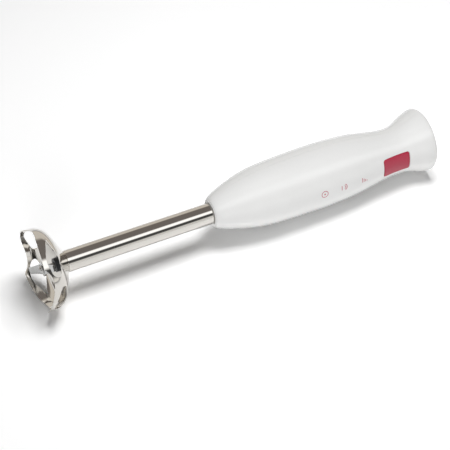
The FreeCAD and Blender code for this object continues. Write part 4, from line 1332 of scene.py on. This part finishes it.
@dataclass
class PrintedMarks:
    """Small printed signs along the button's line: plain figures of no maker.

    Each sign is a few lines of ink, as points in millimetres about the sign's middle. Arcs reach
    the same angle to both sides. A bar is its place and half its length, and the bars of the last
    sign rise by one step from each to the next.
    """

    form: HandleForm
    line: float = 0.62
    lift: float = 0.03
    sunk: float = 0.2
    first: float = 96.0
    pitch: float = 20.0
    ring_radii: tuple = (3.0, 0.5)
    arc_radii: tuple = (2.0, 3.4)
    arc_reach: float = 60.0
    arc_back: float = 1.5
    bar: tuple = (-3.2, 2.2)
    bars: int = 4
    bars_from: float = 2.6
    bars_pitch: float = 1.6
    bars_foot: float = -2.6
    bars_top: float = -1.4
    bars_rise: float = 1.1
    points: int = 8
    ring_points: int = 40

    def ribbon(self, path: Array, centre: float, closed: bool = False) -> Quads:
        """Lay a line of ink on the handle.

        The path is moved half the line's width to each side along its normals, and both edges are
        laid on the surface: the first coordinate runs along the handle, and the second is an arc
        length round it from the button's line.

        Args:
            path: points in millimetres about the sign's middle.
            centre: the middle's distance from the nose.
            closed: whether the path is a loop.

        Returns:
            The ink, in millimetres.
        """
        normal = side_normals(path, closed) * self.line / 2
        edges = []
        for inset, side in ((-self.lift, 1), (-self.lift, -1), (self.sunk, -1), (self.sunk, 1)):
            edge = path + side * normal
            distance = centre + edge[:, 0]
            turn = np.degrees(edge[:, 1] / self.form.radius(distance))
            edges.append(self.form.surface(inset)(distance, turn))
        rows = np.stack(edges, axis=1)
        return strip(np.concatenate([rows, rows[:1]])) if closed else capped_strip(rows)

    def build(self, maker: Maker) -> None:
        """Make the signs: a ring with a dot, a pair of arcs with a bar, and rising bars.

        Args:
            maker: makes the piece.
        """
        first, second, third = (self.first + k * self.pitch for k in range(3))
        shapes = [self.ribbon(circle(radius, self.ring_points), first, closed=True)
                  for radius in self.ring_radii]
        angle = np.radians(np.linspace(-self.arc_reach, self.arc_reach, 3 * self.points))
        arc = np.column_stack([np.cos(angle), np.sin(angle)])
        shapes += [self.ribbon(arc * radius - (self.arc_back, 0.0), second) for radius in self.arc_radii]
        place, half = self.bar
        shapes.append(self.ribbon(np.linspace((place, -half), (place, half), self.points), second))
        for k in range(self.bars):
            place = self.bars_from - self.bars_pitch * k
            ends = ((place, self.bars_foot), (place, self.bars_top + self.bars_rise * k))
            shapes.append(self.ribbon(np.linspace(*ends, self.points), third))
        maker.piece("printed_signs", "handle", Quads.join(shapes), "red_ink", slotted=False)


@dataclass
class Collar:
    """The moulded ring round the tube at the handle's nose."""

    form: HandleForm
    bore: float = 9.25
    wall: float = 2.0
    length: float = 6.0
    proud: float = 0.6
    edge_round: float = 0.35

    def build(self, maker: Maker) -> None:
        """Make the ring.

        Args:
            maker: makes the piece.
        """
        section = ring_section(self.form.nose - self.proud, self.form.nose + self.length,
                               self.bore + self.wall, self.bore, self.edge_round)
        ring = lathe(section, segments=128)
        maker.piece("tube_collar", "handle", ring, "white_plastic", "nose_collar")


# ---- studio

@dataclass
class Studio:
    """Pale floor, soft lamps, a plain room and the camera, in metres and degrees.

    A lamp is its name, its place, the side of its square and its power in watts. A band is a stop
    of the room's reflections: an angle from the zenith towards the front, and a colour.
    """

    floor_size: float = 12.0
    floor_drop: float = 0.0002
    floor_seen: float = 1.2
    room_light: float = 0.08
    azimuth: float = -26.298
    elevation: float = 44.24
    roll: float = -0.327
    lens: float = 149.45
    sensor: float = 36.0
    distance: float = 1.58372
    aim: tuple = (-0.01084, -0.01630)
    aim_height: float = 0.030
    lamps: tuple = (("overhead", (0.16, 0.02, 1.1), 0.5, 10.0),
                    ("front", (-0.8, -1.6, 0.40), 0.8, 15.0))
    bands: tuple = (
        (-180, (0.8, 0.75, 0.68)), (-52, (0.8, 0.75, 0.68)), (-42, (0.22, 0.195, 0.18)),
        (16, (0.22, 0.2, 0.19)), (25, (1.7, 1.7, 1.7)), (43, (1.7, 1.7, 1.7)),
        (51, (0.07, 0.07, 0.07)), (71, (0.1, 0.1, 0.1)), (82, (1.0, 0.99, 0.96)),
        (180, (1.0, 0.99, 0.96)))

    def build(self) -> None:
        """Make the whole studio."""
        self.floor()
        self.room()
        for lamp in self.lamps:
            self.hang(*lamp)
        self.camera()
        bpy.context.scene.view_settings.view_transform = "Standard"

    def floor(self) -> None:
        """Make the floor, which is a little paler to the camera and in reflections than as a lamp."""
        half = self.floor_size / 2
        mesh = bpy.data.meshes.new("studio_floor")
        mesh.from_pydata([(x * half, y * half, -self.floor_drop)
                          for x, y in ((-1, -1), (1, -1), (1, 1), (-1, 1))], [], [(0, 1, 2, 3)])
        material = bpy.data.materials.new("matte_paper")
        tree = empty_tree(material)
        rays = add_node(tree, "LightPath")
        tone = mix_colours(tree, rays.outputs["Is Diffuse Ray"], grey(self.floor_seen), grey(1.0))
        paper = add_node(tree, "BsdfDiffuse", {"Color": tone})
        add_node(tree, "OutputMaterial", {"Surface": paper.outputs[0]})
        mesh.materials.append(material)
        new_object("studio_floor", mesh)

    def room(self) -> None:
        """Make the room: white to the camera, soft to the lamps, and banded in reflections.

        In reflections the room is a strip light in front of a dark ceiling: its brightness is a
        ramp over the angle round the blender's length, from straight down behind, over the zenith
        at the middle of the ramp, to straight down in front.
        """
        world = bpy.data.worlds.new("studio_room")
        bpy.context.scene.world = world
        tree = empty_tree(world)
        direction = add_node(tree, "TexCoord").outputs["Generated"]
        parts = add_node(tree, "SeparateXYZ", {0: direction})
        flip = add_node(tree, "Math", {0: parts.outputs["Y"], 1: -1.0}, operation="MULTIPLY")
        angle = add_node(tree, "Math", {0: flip.outputs[0], 1: parts.outputs["Z"]},
                         operation="ARCTAN2")
        share = add_node(tree, "MapRange", {
            "Value": angle.outputs[0], "From Min": -math.pi, "From Max": math.pi})
        ramp = add_node(tree, "ValToRGB", {"Fac": share.outputs[0]})
        elements = ramp.color_ramp.elements
        elements.remove(elements[1])
        for number, (degrees, colour) in enumerate(self.bands):
            place = (degrees + 180) / 360
            stop = elements.new(place) if number else elements[0]
            stop.position = place
            stop.color = (*colour, 1)
        rays = add_node(tree, "LightPath")
        soft = mix_colours(tree, rays.outputs["Is Glossy Ray"], grey(self.room_light),
                           ramp.outputs["Color"])
        seen = mix_colours(tree, rays.outputs["Is Camera Ray"], soft, grey(1.0))
        back = add_node(tree, "Background", {"Color": seen, "Strength": 1.0})
        add_node(tree, "OutputWorld", {"Surface": back.outputs[0]})

    def hang(self, name: str, place: tuple[float, float, float], size: float, power: float) -> None:
        """Hang a lamp that faces the object and stays out of reflections.

        Args:
            name: the lamp's name.
            place: where it hangs, in metres.
            size: the side of its square in metres.
            power: its power in watts.
        """
        data = bpy.data.lights.new(name, "AREA")
        data.shape = "SQUARE"
        data.size = size
        data.energy = power
        away = unit(np.array(place))
        side = unit(np.cross((0.0, 1.0, 0.0), away))
        lamp = self._stand(name, data, (side, np.cross(away, side), away), place)
        lamp.visible_glossy = lamp.visible_camera = False

    def camera(self) -> None:
        """Set the camera: its direction, its roll and the point that it looks at."""
        azimuth, elevation, roll = (math.radians(v) for v in (self.azimuth, self.elevation, self.roll))
        flat = math.cos(elevation)
        back = np.array([math.sin(azimuth) * flat, -math.cos(azimuth) * flat, math.sin(elevation)])
        right = np.array([math.cos(azimuth), math.sin(azimuth), 0.0])
        up = np.cross(back, right)
        right, up = (math.cos(roll) * right + math.sin(roll) * up,
                     math.cos(roll) * up - math.sin(roll) * right)
        target = np.array([0, 0, self.aim_height]) + self.aim[0] * right + self.aim[1] * up
        data = bpy.data.cameras.new("camera")
        data.lens = self.lens
        data.sensor_width = self.sensor
        bpy.context.scene.camera = self._stand("camera", data, (right, up, back),
                                               target + back * self.distance)

    @staticmethod
    def _stand(name: str, data: bpy.types.ID, axes: Sequence[Array],
               place: Sequence[float]) -> bpy.types.Object:
        """Return a new object with these axes and this place.

        Args:
            name: the object's name.
            data: its lamp or camera.
            axes: its right, its up and its back, at length one.
            place: where it stands, in metres.

        Returns:
            The object.
        """
        matrix = np.eye(4)
        matrix[:3, :3] = np.column_stack(axes)
        matrix[:3, 3] = place
        obj = new_object(name, data)
        obj.matrix_world = Matrix(matrix.tolist())
        return obj


# ---- the whole blender

def dress_nodes(nodes: dict[str, bpy.types.Object], record: dict,
                finishes: dict[str, bpy.types.Material]) -> None:
    """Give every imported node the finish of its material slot.

    Args:
        nodes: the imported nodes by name.
        record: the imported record, which names each node's slot.
        finishes: the materials by slot.
    """
    for entry in record["subparts"]:
        mesh = nodes[entry["node"]].data
        mesh.materials.clear()
        mesh.materials.append(finishes[entry["material_slot"]])


def main() -> None:
    """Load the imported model, dress it, make the new pieces and light them."""
    logging.basicConfig(level=logging.INFO, format="%(name)s %(message)s")
    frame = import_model()
    finishes = {name: finish.material() for name, finish in FINISHES.items()}
    dress_nodes(frame["nodes"], frame["record"], finishes)
    maker = Maker(Axes.from_joints(frame["joints"]), finishes)
    form = HandleForm()
    for assembly in (Foot(), Shells(form), Collar(form), PressButton(form), ReturnSpring(),
                     PrintedMarks(form)):
        assembly.build(maker)
    Studio().build()


if __name__ == "__main__":
    main()
